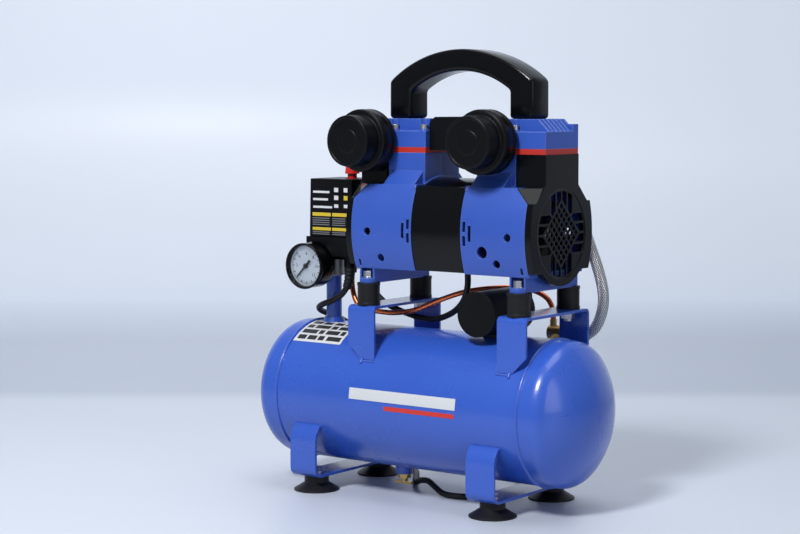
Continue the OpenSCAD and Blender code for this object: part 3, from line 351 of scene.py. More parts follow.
# %% [markdown]
# ## The finishes of this machine
# Blue enamel is a coloured paint with a clear, faintly rippled gloss: the ripple is a shallow grain
# about a millimetre across. Moulded black parts come in two kinds, a fine matt texture on covers
# and a polished one on the handle. Metals get their colour from the base and their look from
# roughness.

# %% Finishes
ENAMEL = finish("blue_enamel", (0.030, 0.098, 0.50), (0.10, 0.21, 0.68), (0.24, 0.32), edge=0.0010,
                grain=420.0, depth=0.00004, cloud=6.0, coat=0.35, coat_rough=0.10, edge_wear_and_highlight=0.30, shade=0.05)
CASTING = finish("blue_casting", (0.027, 0.085, 0.43), (0.16, 0.26, 0.62), (0.36, 0.46), edge=0.0016,
                 grain=1300.0, depth=0.00008, cloud=12.0, coat=0.15, coat_rough=0.25, edge_wear_and_highlight=0.55, shade=0.07)
RED = finish("red_plate", (0.44, 0.022, 0.014), (0.60, 0.08, 0.05), (0.35, 0.5), edge=0.0004,
             grain=700.0, depth=0.00004, edge_wear_and_highlight=0.5)
MATT = finish("black_plastic", (0.0030, 0.0034, 0.0044), (0.010, 0.011, 0.014), (0.30, 0.40), edge=0.0010,
              grain=1500.0, depth=0.00004, cloud=14.0, level=0.16, edge_wear_and_highlight=0.4, shade=0.2)
GLOSS = finish("black_gloss", (0.0022, 0.0026, 0.0036), (0.008, 0.009, 0.012), (0.13, 0.20), edge=0.0012,
               grain=500.0, depth=0.00002, cloud=10.0, coat=0.08, coat_rough=0.05, level=0.20, edge_wear_and_highlight=0.3,
               shade=0.2)
RUBBER = finish("black_rubber", (0.0065, 0.0068, 0.008), (0.024, 0.024, 0.026), (0.42, 0.56), edge=0.0008,
                grain=1100.0, depth=0.00006, cloud=20.0, level=0.3, edge_wear_and_highlight=0.4, shade=0.25)
KNOB = finish("red_knob", (0.58, 0.018, 0.012), (0.75, 0.12, 0.08), (0.25, 0.35), edge=0.0008,
              grain=800.0, depth=0.00003, edge_wear_and_highlight=0.3)
STEEL = finish("zinc_steel", (0.56, 0.57, 0.60), (0.8, 0.8, 0.82), (0.26, 0.42), edge=0.0004,
               grain=2200.0, depth=0.00003, cloud=60.0, metal=1.0, edge_wear_and_highlight=0.5, shade=0.15)
CAST = finish("plain_casting", (0.40, 0.41, 0.43), (0.62, 0.62, 0.64), (0.42, 0.58), edge=0.0010,
              grain=1600.0, depth=0.00010, cloud=30.0, metal=0.9, edge_wear_and_highlight=0.4, shade=0.15)
BRASS = finish("brass", (0.60, 0.42, 0.16), (0.80, 0.62, 0.30), (0.25, 0.40), edge=0.0004,
               grain=1800.0, depth=0.00003, cloud=40.0, metal=1.0, edge_wear_and_highlight=0.4, shade=0.15)
COPPER = finish("copper", (0.86, 0.20, 0.08), (0.95, 0.40, 0.22), (0.22, 0.34), edge=0.0003,
                grain=300.0, depth=0.00006, cloud=45.0, metal=0.95, edge_wear_and_highlight=0.3, shade=0.25)
IRON = finish("core_iron", (0.10, 0.10, 0.105), (0.3, 0.3, 0.3), (0.45, 0.65), edge=0.0004,
              grain=2500.0, depth=0.00008, cloud=30.0, metal=0.8, edge_wear_and_highlight=0.4, shade=0.25)
FELT = finish("filter_felt", (0.42, 0.38, 0.26), (0.5, 0.46, 0.33), (0.85, 0.95), edge=0.0010,
              grain=2600.0, depth=0.0004, cloud=60.0, level=0.2, edge_wear_and_highlight=0.2, shade=0.2)
PAPER = finish("dial_face", (0.82, 0.88, 0.95), (0.8, 0.8, 0.8), (0.45, 0.55), edge=0.0002,
               grain=3000.0, depth=0.00001, cloud=50.0, edge_wear_and_highlight=0.1, shade=0.02)
INK = finish("black_ink", (0.015, 0.015, 0.017), (0.03, 0.03, 0.03), (0.4, 0.5), edge=0.0001,
             grain=3000.0, depth=0.00001, edge_wear_and_highlight=0.1, shade=0.05)
RED_INK = finish("red_ink", (0.60, 0.03, 0.02), (0.65, 0.05, 0.04), (0.4, 0.5), edge=0.0001,
                 grain=3000.0, depth=0.00001, edge_wear_and_highlight=0.1, shade=0.05)
YELLOW_INK = finish("yellow_ink", (0.62, 0.46, 0.03), (0.65, 0.5, 0.08), (0.4, 0.5), edge=0.0001,
                    grain=3000.0, depth=0.00001, edge_wear_and_highlight=0.1, shade=0.06)
WHITE_INK = finish("white_ink", (0.62, 0.64, 0.66), (0.7, 0.7, 0.7), (0.4, 0.5), edge=0.0001,
                   grain=3000.0, depth=0.00001, edge_wear_and_highlight=0.1, shade=0.04)
GREY_INK = finish("grey_ink", (0.16, 0.17, 0.18), (0.2, 0.2, 0.2), (0.4, 0.5), edge=0.0001,
                  grain=3000.0, depth=0.00001, edge_wear_and_highlight=0.1, shade=0.06)

# %% The gauge's window
GLASS = bpy.data.materials.new("gauge_window")
GLASS.use_nodes = True
glass_shader = GLASS.node_tree.nodes["Principled BSDF"]
glass_shader.inputs["Base Color"].default_value = (0.96, 0.98, 1.0, 1)
glass_shader.inputs["Transmission Weight"].default_value = 1.0
glass_shader.inputs["IOR"].default_value = 1.2
dust = GLASS.node_tree.nodes.new("ShaderNodeTexNoise")
dust.inputs["Scale"].default_value = 90.0
dust_range = GLASS.node_tree.nodes.new("ShaderNodeMapRange")
dust_range.inputs["To Min"].default_value = 0.0
dust_range.inputs["To Max"].default_value = 0.06
GLASS.node_tree.links.new(dust.outputs["Fac"], dust_range.inputs["Value"])
GLASS.node_tree.links.new(dust_range.outputs["Result"], glass_shader.inputs["Roughness"])

# %% [markdown]
# ## The mains lead
# The lead is 7 mm rubber. It leaves a gland under the pressure switch, passes in front of the riser
# pipe, goes down the back of the tank and under it, and the length that isn't needed lies coiled
# behind. The turns of the coil are laid one beside another, a diameter apart, and a strap holds them.

# %% Lay the mains lead
LEAD_R = 3.5 * MM
LEAD_ROUTE = [Vector(p) * MM for p in [
    (-107, -15, 253), (-107.5, -15, 241), (-111, -16, 229.5), (-119, -17, 220), (-131, -18, 213.5),
    (-144, -17, 209), (-156, -10.5, 204), (-163.5, 2, 198.5), (-165, 17, 193.5), (-163, 34, 187.5),
    (-160, 53, 176), (-158, 72, 154), (-156, 84, 124), (-154, 87, 92), (-153, 87, 62), (-150, 89, 36),
    (-141, 94, 15), (-124, 99, 5), (-104, 96, 3.6), (-85, 83, 3.6), (-68, 62, 3.6), (-52, 38, 3.6),
    (-38, 20, 5.5), (-24, 11, 10.5), (-9, 4, 12.5), (6, -4, 9), (22, -10, 4.2), (42, -10, 3.6),
    (62, 2, 3.6), (75, 24, 3.6), (78, 54, 3.6), (68, 84, 3.6), (44, 110, 3.6), (10, 126, 3.6),
    (-30, 131.5, 3.7)]]
COIL_CENTRE = Vector((-75, 172, 0)) * MM
# Each turn's distance from the coil's middle and height, in the order in which they are wound.
COIL_TURNS = [(41.6, 3.8), (34.4, 3.8), (30.9, 10.1), (38.0, 10.1), (38.0, 10.1)]
TURN_POINTS = 16


def coil_points():
    points = []
    for k in range(int(4.5 * TURN_POINTS) + 1):
        turn, part = divmod(k / TURN_POINTS, 1.0)
        here = COIL_TURNS[int(turn)]
        there = COIL_TURNS[min(int(turn) + 1, len(COIL_TURNS) - 1)]
        ease = min(max((part - 0.6) / 0.4, 0.0), 1.0)
        ease = ease * ease * (3 - 2 * ease)
        r = (here[0] + (there[0] - here[0]) * ease) * MM
        z = (here[1] + (there[1] - here[1]) * ease) * MM
        a = math.radians(-90) - 2 * math.pi * k / TURN_POINTS
        points.append(COIL_CENTRE + Vector((r * math.cos(a), r * math.sin(a), z)))
    return points


lead_end = Vector((-75 + 26, 172 + 38, 9.5)) * MM
lead_path = smooth_route(LEAD_ROUTE + coil_points() + [lead_end], 5)
lead = piece("mains_lead", tube(lead_path, LEAD_R, 14), RUBBER, stands_for=("power_cord", "cord_coil"))

# %% [markdown]
# A strap holds the coil, a ribbed boot protects the lead where it leaves the switch, and a moulded
# two-pin plug ends it. The boot is the same tube as the lead with its radius rising towards the
# gland in small steps, which is how such boots are moulded.

# %% Strap, boot and plug
def coil_strap():
    """A flat band round the bundle of turns, resting on the floor."""
    at = COIL_CENTRE + Vector((0.0360, 0.0, 0.0073))
    loop = []
    for k in range(28):
        a = 2 * math.pi * k / 28
        loop.append((at.x + 11.2 * MM * math.cos(a), max(at.z + 8.6 * MM * math.sin(a), 0.3 * MM)))
    outer = slab(loop, at.y - 4 * MM, at.y + 4 * MM, "y")
    return outer


piece("coil_strap", coil_strap(), MATT, bevel=0.5 * MM, corner=40)
BOOT_LENGTH, RIB_PITCH = 26 * MM, 2.2 * MM


def boot_radius(along):
    """Tapers away from the gland, with every second rib raised."""
    return (6.2 - 60 * along + (0.45 if int(along / RIB_PITCH) % 2 else 0)) * MM


boot_path = []
covered = 0.0
for a, b in zip(lead_path, lead_path[1:]):
    boot_path.append(a)
    covered += (b - a).length
    if covered > BOOT_LENGTH:
        break
boot_path = smooth_route(boot_path, 6)
boot = piece("lead_boot", tube(boot_path, boot_radius, 24), RUBBER)


def plug_body():
    """Rounded sections from the lead to the flat front face."""
    start = Vector((-75 + 24, 172 + 38, 9.5)) * MM
    shape = [(0, 4.6, 4.6, 0.5), (5, 4.8, 4.8, 0.5), (5.5, 5.5, 5.5, 0.5), (9, 5.7, 5.7, 0.5),
             (9.5, 5.0, 5.0, 0.5), (12, 5.2, 5.2, 0.5), (12.5, 6.1, 6.1, 0.5), (16, 6.3, 6.3, 0.5),
             (16.5, 5.5, 5.5, 0.5), (19, 5.7, 5.7, 0.5), (19.5, 6.8, 6.8, 0.5), (25, 7.4, 7.2, 0.5),
             (28, 9.0, 8.4, 0.45), (38, 14.5, 8.9, 0.35), (50, 17.0, 9.0, 0.3), (60, 18.0, 9.0, 0.28),
             (63, 17.6, 8.8, 0.28), (64, 16.4, 7.8, 0.28)]
    bm = bmesh.new()
    rings = []
    for d, wide, tall, power in shape:
        ring = []
        for k in range(32):
            a = 2 * math.pi * k / 32
            c, s = math.cos(a), math.sin(a)
            y = wide * math.copysign(abs(c) ** (2 * power), c)
            z = tall * math.copysign(abs(s) ** (2 * power), s)
            ring.append(bm.verts.new(start + Vector((d, y, z)) * MM))
        rings.append(ring)
    for low, high in zip(rings, rings[1:]):
        for k in range(32):
            bm.faces.new([low[k], low[(k + 1) % 32], high[(k + 1) % 32], high[k]])
    bm.faces.new(list(reversed(rings[0])))
    bm.faces.new(rings[-1])
    return bm


plug = piece("mains_plug", plug_body(), RUBBER, stands_for=("plug",))
PIN = [(0, 0), (2.4, 0), (2.4, 16.5), (1.8, 18.3), (0.9, 19), (0, 19)]
pins = join(*[lathe([(r * MM, d * MM) for r, d in PIN], Vector((13, 210 + y, 9.5)) * MM, "x", 24)
              for y in (-9.5, 9.5)])
plug_pins = piece("plug_pins", pins, STEEL)

# %% [markdown]
# ## Fixed pipes and cables
# The copper unloader pipe, the motor's cable and the braided delivery hose follow the same routes as
# in CAD, but with rounder skins. The braid is a pattern on the tube's UV map: two families of
# diagonal strands cross, and a bump raises each one.

# %% Braid material
BRAID = bpy.data.materials.new("steel_braid")
BRAID.use_nodes = True
bn, bl = BRAID.node_tree.nodes, BRAID.node_tree.links.new
braid_shader = bn["Principled BSDF"]
braid_shader.inputs["Metallic"].default_value = 1.0
uv_map = bn.new("ShaderNodeUVMap")
uv_map.uv_map = "around_along"
split = bn.new("ShaderNodeSeparateXYZ")
bl(uv_map.outputs["UV"], split.inputs["Vector"])
BRAID_RADIUS, BRAID_STRANDS, BRAID_SLANT = 6.2 * MM, 14, 0.85


def braid_math(operation, first, second=None):
    """A Math node on one or two sockets; a plain number goes into its second value."""
    node = bn.new("ShaderNodeMath")
    node.operation = operation
    bl(first, node.inputs[0])
    if isinstance(second, float):
        node.inputs[1].default_value = second
    elif second is not None:
        bl(second, node.inputs[1])
    return node.outputs["Value"]


strands = []
for way in (1.0, -1.0):
    along = braid_math("MULTIPLY", split.outputs["Y"], way * BRAID_SLANT)
    total = braid_math("ADD", split.outputs["X"], along)
    turns = braid_math("MULTIPLY", total, 2 * math.pi * BRAID_STRANDS / (2 * math.pi * BRAID_RADIUS))
    strands.append(braid_math("SINE", turns))
raised = braid_math("MAXIMUM", strands[0], strands[1])
ramp = bn.new("ShaderNodeValToRGB")
ramp.color_ramp.elements[0].position = 0.05
ramp.color_ramp.elements[0].color = (0.05, 0.05, 0.055, 1)
ramp.color_ramp.elements[1].position = 0.75
ramp.color_ramp.elements[1].color = (0.66, 0.67, 0.70, 1)
bl(raised, ramp.inputs["Fac"])
bl(ramp.outputs["Color"], braid_shader.inputs["Base Color"])
braid_bump = bn.new("ShaderNodeBump")
braid_bump.inputs["Distance"].default_value = 0.0004
bl(raised, braid_bump.inputs["Height"])
bl(braid_bump.outputs["Normal"], braid_shader.inputs["Normal"])
braid_rough = bn.new("ShaderNodeMapRange")
braid_rough.inputs["To Min"].default_value = 0.6
braid_rough.inputs["To Max"].default_value = 0.3
bl(raised, braid_rough.inputs["Value"])
bl(braid_rough.outputs["Result"], braid_shader.inputs["Roughness"])

# %% Hose, copper pipe and motor cable
HOSE_ROUTE = [Vector(p) * MM for p in [
    (124, 32.5, 400), (124, 42, 400), (124.5, 50, 397.5), (125, 56, 390),
    (126, 59, 378), (129, 63, 362), (135, 68, 344), (144, 71.5, 324), (154, 72, 303), (164, 71, 281),
    (174, 69, 259), (181, 67, 239), (182, 67, 222), (177, 69, 206), (168, 72, 193),
    (156, 74, 186), (140.5, 74, 185)]]
COPPER_ROUTE = [Vector(p) * MM for p in [
    (-114.5, 0, 246), (-114.5, -1, 236), (-111, -3, 223), (-103, -6, 212), (-90, -6, 205.5), (-74, -4, 203.5),
    (-52, 0, 203), (-27, 4, 207.5), (2, 12, 220), (26, 22, 229), (46, 38, 233), (68, 57, 234), (90, 69, 231),
    (105, 73.5, 223), (112, 74, 212), (113.5, 74, 200)]]
CABLE_ROUTE = [Vector(p) * MM for p in [
    (-104, 18, 253), (-103.5, 18.3, 238), (-95, 19, 222), (-82, 20, 211), (-66, 20.5, 204.5), (-48, 20, 200),
    (-30, 18.5, 197), (-10, 15, 197), (10, 10.5, 202), (28, 6.5, 211), (41, 3, 224), (47, 1, 240),
    (47.5, 0, 259)]]
for name, route, steps, radius, sides, material, node in (
        ("braided_hose", HOSE_ROUTE, 10, BRAID_RADIUS, 28, BRAID, "delivery_hose"),
        ("copper_pipe", COPPER_ROUTE, 8, 3.0 * MM, 16, COPPER, "unloader_tube"),
        ("motor_lead", CABLE_ROUTE, 8, 3.5 * MM, 16, RUBBER, "motor_cable")):
    piece(name, tube(smooth_route(route, steps), radius, sides), material, stands_for=(node,))

# %% Two thin wires from the capacitor to the motor
(qx0, qy0, qz0), (qx1, qy1, qz1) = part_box("capacitor")
# Each point is a share of the sideways offset, a distance back and a height, from the rear terminals.
WIRE_ROUTE = [(1.0, -2, 0), (1.0, 8, 1), (1.3, 12, 12), (1.4, 6, 28), (1.3, -12, 44)]
terminals = Vector(((qx0 + qx1) / 2, qy1, (qz0 + qz1) / 2))
for label, offset in (("one", -6.0 * MM), ("two", 6.0 * MM)):
    wire = [terminals + Vector((share * offset, back * MM, up * MM)) for share, back, up in WIRE_ROUTE]
    wire.append(Vector((terminals.x + offset, 8 * MM, terminals.z + 52 * MM)))
    piece("capacitor_wire_" + label, tube(smooth_route(wire, 8), 1.3 * MM, 12), RUBBER)

# %% Crimped ferrules on the hose
def ferrule(route, start, end, radius):
    """A crimped sleeve over one end of a hose, between two distances along it."""
    path, gone = [], 0.0
    for a, b in zip(route, route[1:]):
        if start <= gone <= end:
            path.append(a)
        gone += (b - a).length
    return tube(path, lambda d: radius * (1.0 + (0.04 if int(d / 0.003) % 2 else 0.0)), 28)


hose_path = smooth_route(HOSE_ROUTE, 24)
hose_length = route_length(hose_path)
piece("hose_ferrules", join(ferrule(hose_path, 0.024, 0.040, 7.2 * MM),
                            ferrule(hose_path, hose_length - 0.018, hose_length, 7.2 * MM)), STEEL)
piece("hose_elbow", tube([p for p in smooth_route(HOSE_ROUTE[:4], 8)], 6.9 * MM, 24), BRASS)

# %% [markdown]
# ## Handle
# The handle is one glossy moulding whose edges are well rounded, because a hand carries the weight
# of the machine on it. Its outline is two arcs on two posts; pushing it across the pump and
# rounding all its edges gives the real shape.

# %% Handle
def arc(radius, centre, low, high, steps):
    return [(centre[0] + radius * math.sin(low + (high - low) * k / steps),
             centre[1] + radius * math.cos(low + (high - low) * k / steps)) for k in range(steps + 1)]


(hx0, hy0, hz0), (hx1, hy1, hz1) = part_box("handle")
middle = (hx0 + hx1) / 2
half, inner_half = (hx1 - hx0) / 2, (hx1 - hx0) / 2 - 30 * MM
rise, inner_rise = 34.5 * MM, 21.5 * MM
outer_r = (half ** 2 + rise ** 2) / (2 * rise)
inner_r = (inner_half ** 2 + inner_rise ** 2) / (2 * inner_rise)
outer_turn, inner_turn = math.asin(half / outer_r), math.asin(inner_half / inner_r)
outline = [(middle - half, hz0)]
outline += arc(outer_r, (middle, hz1 - outer_r), -outer_turn, outer_turn, 40)
outline += [(middle + half, hz0), (middle + inner_half, hz0)]
outline += arc(inner_r, (middle, hz1 - 24 * MM - inner_r), inner_turn, -inner_turn, 32)
outline += [(middle - inner_half, hz0)]
handle = piece("carry_handle", slab(outline, hy0, hy1, "y"), GLOSS, stands_for=("handle",), corner=28,
               bevel=4.5 * MM, steps=5)
print("handle faces:", len(handle.data.polygons))

# %% [markdown]
# ## Intake filters
# Each filter is a round drum with a smaller cap on its front. Both are turned shapes with soft lips,
# so an outline turned about the Y axis gives them at once.

# %% Filters
FILTER = [(6, -32.5), (10, -32.5), (10, -36.5), (32.0, -36.5), (34.0, -37.3), (35, -39.3), (35, -43.4),
          (34.5, -44.0), (34.5, -44.8), (35, -45.4), (35, -56.6), (34.2, -59.0), (32.2, -60),
          (29.4, -60), (28.7, -60.6), (28.5, -61.8), (28.5, -79.6), (28.1, -81.2), (26.6, -82.0),
          (25.4, -82.0), (24.6, -81.2), (13.5, -81.2), (12.7, -81.9), (0, -81.9), (0, -78.0),
          (25.0, -78.0), (25.0, -62.5), (31, -57.0), (31, -40), (6, -40)]
for side, node in (("left", "filter_left"), ("right", "filter_right")):
    (x0, y0, z0), (x1, y1, z1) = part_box(node)
    place = ((x0 + x1) / 2, 0, (z0 + z1) / 2)
    piece("intake_filter_" + side, lathe([(r * MM, d * MM) for r, d in FILTER], place, "y", 112), MATT,
          stands_for=(node,), corner=40)

# %% [markdown]
# ## Pressure gauge
# The dial is white with black graduations and a red stretch at its top end. The marks repeat along
# an arc, so a Geometry Nodes tree makes them: it turns one small bar round the middle, as many
# times as it is told to.

# %% Gauge case and dial
(gx0, gy0, gz0), (gx1, gy1, gz1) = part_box("gauge_lens")
gauge = Vector(((gx0 + gx1) / 2, 0, (gz0 + gz1) / 2))
(cx0, cy0, cz0), (cx1, cy1, cz1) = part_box("gauge_case")
CASE = [(0, -21.5), (9, -21.2), (21.5, -21.0), (24.6, -23.2), (25.6, -27), (25.6, -46.0), (26.1, -46.6),
        (26.5, -47.6), (26.5, -50.0), (26.0, -50.8), (25.2, -51.0), (24.6, -50.6), (24.3, -49.4),
        (23.6, -49.2), (23.6, -42.2), (0, -42.2)]
STEM = [(0, -21.9), (7, -21.9), (7, -13.2), (6.0, -13.0), (6.0, -2), (0, -2)]
case = lathe([(r * MM, d * MM) for r, d in CASE], gauge, "y", 96)
stem = lathe([(r * MM, d * MM) for r, d in STEM], gauge + Vector((5 * MM, 0, 0)), "y", 32)
piece("gauge_housing", join(case, stem), GLOSS, stands_for=("gauge_case",), corner=30)


DIAL_FRONT = cy0 + 6.9 * MM
UPRIGHT = Matrix.Rotation(math.radians(90), 4, "X")


def dial_marks(name, radius, count, length, width, material, start=-225.0, sweep=270.0):
    """A ring of bars laid along an arc of the dial by Geometry Nodes."""
    tree = bpy.data.node_groups.new(name + "_nodes", "GeometryNodeTree")
    tree.interface.new_socket(name="Geometry", in_out="OUTPUT", socket_type="NodeSocketGeometry")
    inputs = {}
    for label, kind, value in (("Count", "NodeSocketInt", count), ("Radius", "NodeSocketFloat", radius),
                               ("Length", "NodeSocketFloat", length), ("Width", "NodeSocketFloat", width)):
        made = tree.interface.new_socket(name=label, in_out="INPUT", socket_type=kind)
        inputs[label] = (made.identifier, value)
    n, link = tree.nodes, tree.links.new
    given, result = n.new("NodeGroupInput"), n.new("NodeGroupOutput")
    arc_line = n.new("GeometryNodeCurveArc")
    arc_line.inputs["Start Angle"].default_value = math.radians(start)
    arc_line.inputs["Sweep Angle"].default_value = math.radians(sweep)
    link(given.outputs["Count"], arc_line.inputs["Resolution"])
    link(given.outputs["Radius"], arc_line.inputs["Radius"])
    points = n.new("GeometryNodeCurveToPoints")
    points.mode = "EVALUATED"
    link(arc_line.outputs["Curve"], points.inputs["Curve"])
    bar = n.new("GeometryNodeMeshCube")
    size = n.new("ShaderNodeCombineXYZ")
    size.inputs["Y"].default_value = 0.00016
    link(given.outputs["Length"], size.inputs["X"])
    link(given.outputs["Width"], size.inputs["Z"])
    link(size.outputs["Vector"], bar.inputs["Size"])
    where = n.new("GeometryNodeInputPosition")
    turn = n.new("FunctionNodeAlignRotationToVector")
    turn.axis = "X"
    link(where.outputs["Position"], turn.inputs["Vector"])
    upright = n.new("FunctionNodeRotateRotation")
    upright.rotation_space = "LOCAL"
    upright.inputs["Rotate By"].default_value = (math.radians(90), 0, 0)
    link(turn.outputs["Rotation"], upright.inputs["Rotation"])
    copies = n.new("GeometryNodeInstanceOnPoints")
    link(points.outputs["Points"], copies.inputs["Points"])
    link(bar.outputs["Mesh"], copies.inputs["Instance"])
    link(upright.outputs["Rotation"], copies.inputs["Rotation"])
    real = n.new("GeometryNodeRealizeInstances")
    link(copies.outputs["Instances"], real.inputs["Geometry"])
    paint = n.new("GeometryNodeSetMaterial")
    paint.inputs["Material"].default_value = material
    link(real.outputs["Geometry"], paint.inputs["Geometry"])
    link(paint.outputs["Geometry"], result.inputs["Geometry"])
    holder = bpy.data.objects.new(name, bpy.data.meshes.new(name))
    bpy.context.scene.collection.objects.link(holder)
    nodes = holder.modifiers.new("marks", "NODES")
    nodes.node_group = tree
    for identifier, value in inputs.values():
        nodes[identifier] = value
    bake_modifiers(holder)
    # the marks were made lying flat; stand them on the dial's face
    holder.data.transform(Matrix.Translation(gauge + Vector((0, DIAL_FRONT, 0))) @ UPRIGHT)
    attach(holder, "base")
    return holder


long_marks = dial_marks("dial_long_marks", 19.6 * MM, 13, 3.8 * MM, 0.8 * MM, INK)
short_marks = dial_marks("dial_short_marks", 20.5 * MM, 61, 2.0 * MM, 0.3 * MM, INK)
red_marks = dial_marks("dial_red_marks", 21.9 * MM, 44, 1.5 * MM, 1.5 * MM, RED_INK, start=-45.0, sweep=80.0)
counts = [len(marks.data.polygons) // 6 for marks in (long_marks, short_marks, red_marks)]
print("dial marks, long, short and red:", counts)

# %% Figures on the dial
def figures():
    texts = []
    for k, label in enumerate(("0", "2", "4", "6", "8", "10", "12")):
        a = math.radians(225 - 45 * k)
        curve = bpy.data.curves.new("figure", "FONT")
        curve.body = label
        curve.size = 5.0 * MM
        curve.align_x = "CENTER"
        curve.align_y = "CENTER"
        curve.extrude = 0.06 * MM
        text = bpy.data.objects.new("figure", curve)
        bpy.context.scene.collection.objects.link(text)
        graph = bpy.context.evaluated_depsgraph_get()
        mesh = bpy.data.meshes.new_from_object(text.evaluated_get(graph))
        at = gauge + Vector((14.3 * MM * math.cos(a), DIAL_FRONT, 14.3 * MM * math.sin(a)))
        mesh.transform(Matrix.Translation(at) @ UPRIGHT)
        bpy.data.objects.remove(text)
        bm = bmesh.new()
        bm.from_mesh(mesh)
        bpy.data.meshes.remove(mesh)
        texts.append(bm)
    return join(*texts)


piece("dial_figures", figures(), INK)

# %% [markdown]
# ## Labels
# The machine carries a data plate on the tank and a panel on the switch. Their words and marks
# aren't repeated: plain bars and blocks in the same colours stand for them. A label on the tank
# follows its curve, so each bar is a thin patch wrapped round the tank's axis.

# %% Wrap a patch round the tank
(tx0, ty0, tz0), (tx1, ty1, tz1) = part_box("tank_end_left")
TANK_Z = (tz0 + tz1) / 2
TANK_R = 80.0 * MM


def wrapped(x0, x1, a0, a1, height, thick, skew=0.0, columns=10, rows=10):
    """A patch from x0 to x1 and between two angles from the tank's top, towards the front."""
    bm = bmesh.new()
    layers = []
    for r in (TANK_R + height, TANK_R + height + thick):
        grid = []
        for i in range(columns + 1):
            line = []
            for j in range(rows + 1):
                a = a0 + (a1 - a0) * j / rows
                x = x0 + (x1 - x0) * i / columns + skew * (a - a0)
                line.append(bm.verts.new((x, -r * math.sin(a), TANK_Z + r * math.cos(a))))
            grid.append(line)
        layers.append(grid)
    low, high = layers
    for i in range(columns):
        for j in range(rows):
            bm.faces.new([high[i][j], high[i + 1][j], high[i + 1][j + 1], high[i][j + 1]])
            bm.faces.new([low[i][j], low[i][j + 1], low[i + 1][j + 1], low[i + 1][j]])
    rim = [(i, 0) for i in range(columns)] + [(columns, j) for j in range(rows)]
    rim += [(i, rows) for i in range(columns, 0, -1)] + [(0, j) for j in range(rows, 0, -1)]
    for (i, j), (k, m) in zip(rim, rim[1:] + rim[:1]):
        bm.faces.new([low[i][j], low[k][m], high[k][m], high[i][j]])
    return bm


PLATE_X0, PLATE_X1 = -161 * MM, -92 * MM
PLATE_A0, PLATE_A1 = math.radians(7), math.radians(41)
piece("data_plate", wrapped(PLATE_X0, PLATE_X1, PLATE_A0, PLATE_A1, 0.05 * MM, 0.15 * MM), WHITE_INK,
      corner=60)


def plate_bars():
    dark = []
    span, turn = PLATE_X1 - PLATE_X0, PLATE_A1 - PLATE_A0
    rows = ((0.08, 0.24, ((0.05, 0.24), (0.28, 0.46), (0.52, 0.70), (0.74, 0.95))),
            (0.31, 0.47, ((0.05, 0.18), (0.22, 0.52), (0.56, 0.68), (0.72, 0.95))),
            (0.54, 0.70, ((0.05, 0.36), (0.40, 0.50), (0.55, 0.82), (0.86, 0.95))),
            (0.77, 0.92, ((0.05, 0.22), (0.26, 0.44), (0.48, 0.60), (0.66, 0.95))))
    for v0, v1, blocks in rows:
        for u0, u1 in blocks:
            dark.append(wrapped(PLATE_X0 + span * u0, PLATE_X0 + span * u1, PLATE_A0 + turn * v0,
                                PLATE_A0 + turn * v1, 0.21 * MM, 0.04 * MM, columns=4, rows=3))
    return join(*dark)


piece("data_plate_bars", plate_bars(), INK, corner=60)
piece("tank_stripe", wrapped(-58 * MM, 86 * MM, math.radians(77), math.radians(86), 0.05 * MM, 0.1 * MM,
                             columns=24, rows=6), WHITE_INK, corner=60)
piece("tank_stripe_red", wrapped(-9 * MM, 85 * MM, math.radians(89), math.radians(92.5), 0.05 * MM, 0.1 * MM,
                                 columns=20, rows=3), RED_INK, corner=60)

# %% The switch's cover
(sx0, sy0, sz0), (sx1, sy1, sz1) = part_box("switch_cover")
(kx0, ky0, kz0), (kx1, ky1, kz1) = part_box("switch_knob")
TAPER, WALL = 1.6 * MM, 2.5 * MM


def moulded_cover():
    """A hood that is a little narrower at its top and open below; the well round the knob's stem is cut from
    it afterwards.
    """
    def ring(z, wall):
        side = TAPER * (z - sz0) / (sz1 - sz0) + wall
        left, right, front, back = sx0 + side, sx1 - side, sy0 + wall, sy1 - wall
        return [(left, front), (right, front), (right, back), (left, back)]

    bm = bmesh.new()
    outer = [[bm.verts.new((x, y, z)) for x, y in ring(z, 0)] for z in (sz0, sz1)]
    for k in range(4):
        j = (k + 1) % 4
        bm.faces.new([outer[0][k], outer[0][j], outer[1][j], outer[1][k]])
    inner = [[bm.verts.new((x, y, z)) for x, y in ring(z, WALL)] for z in (sz0, sz1 - WALL)]
    for k in range(4):
        j = (k + 1) % 4
        bm.faces.new([inner[0][j], inner[0][k], inner[1][k], inner[1][j]])
        bm.faces.new([outer[0][j], outer[0][k], inner[0][k], inner[0][j]])
    bm.faces.new(outer[1])
    bm.faces.new(list(reversed(inner[1])))
    return bm


stem_r = 0.5 * MM + (kx1 - kx0) / 2
cover = piece("switch_hood", moulded_cover(), MATT, stands_for=("switch_cover",), bevel=2.6 * MM, steps=4,
              corner=40)
well = piece("well_cutter", lathe([(0, -0.03), (stem_r, -0.03), (stem_r, 0.03), (0, 0.03)],
                                  Vector(((kx0 + kx1) / 2, (ky0 + ky1) / 2, sz1)), "z", 64), MATT)
cut = cover.modifiers.new("well", "BOOLEAN")
cut.operation = "DIFFERENCE"
cut.solver = "EXACT"
cut.object = well
bake_modifiers(cover)
bpy.data.objects.remove(well)
finish_edges(cover, 38, 0, 0)


# %% The panel on its front
def panel(blocks, depth=0.12):
    """Thin blocks on the front of the switch, each (x, z, width, height) in mm from its corner."""
    made = []
    for x, z, w, h in blocks:
        left, low = sx0 + x * MM, sz0 + z * MM
        outline = [(left, low), (left + w * MM, low), (left + w * MM, low + h * MM), (left, low + h * MM)]
        made.append(slab(outline, sy0 - depth * MM, sy0 + 0.02 * MM, "y"))
    return join(*made)


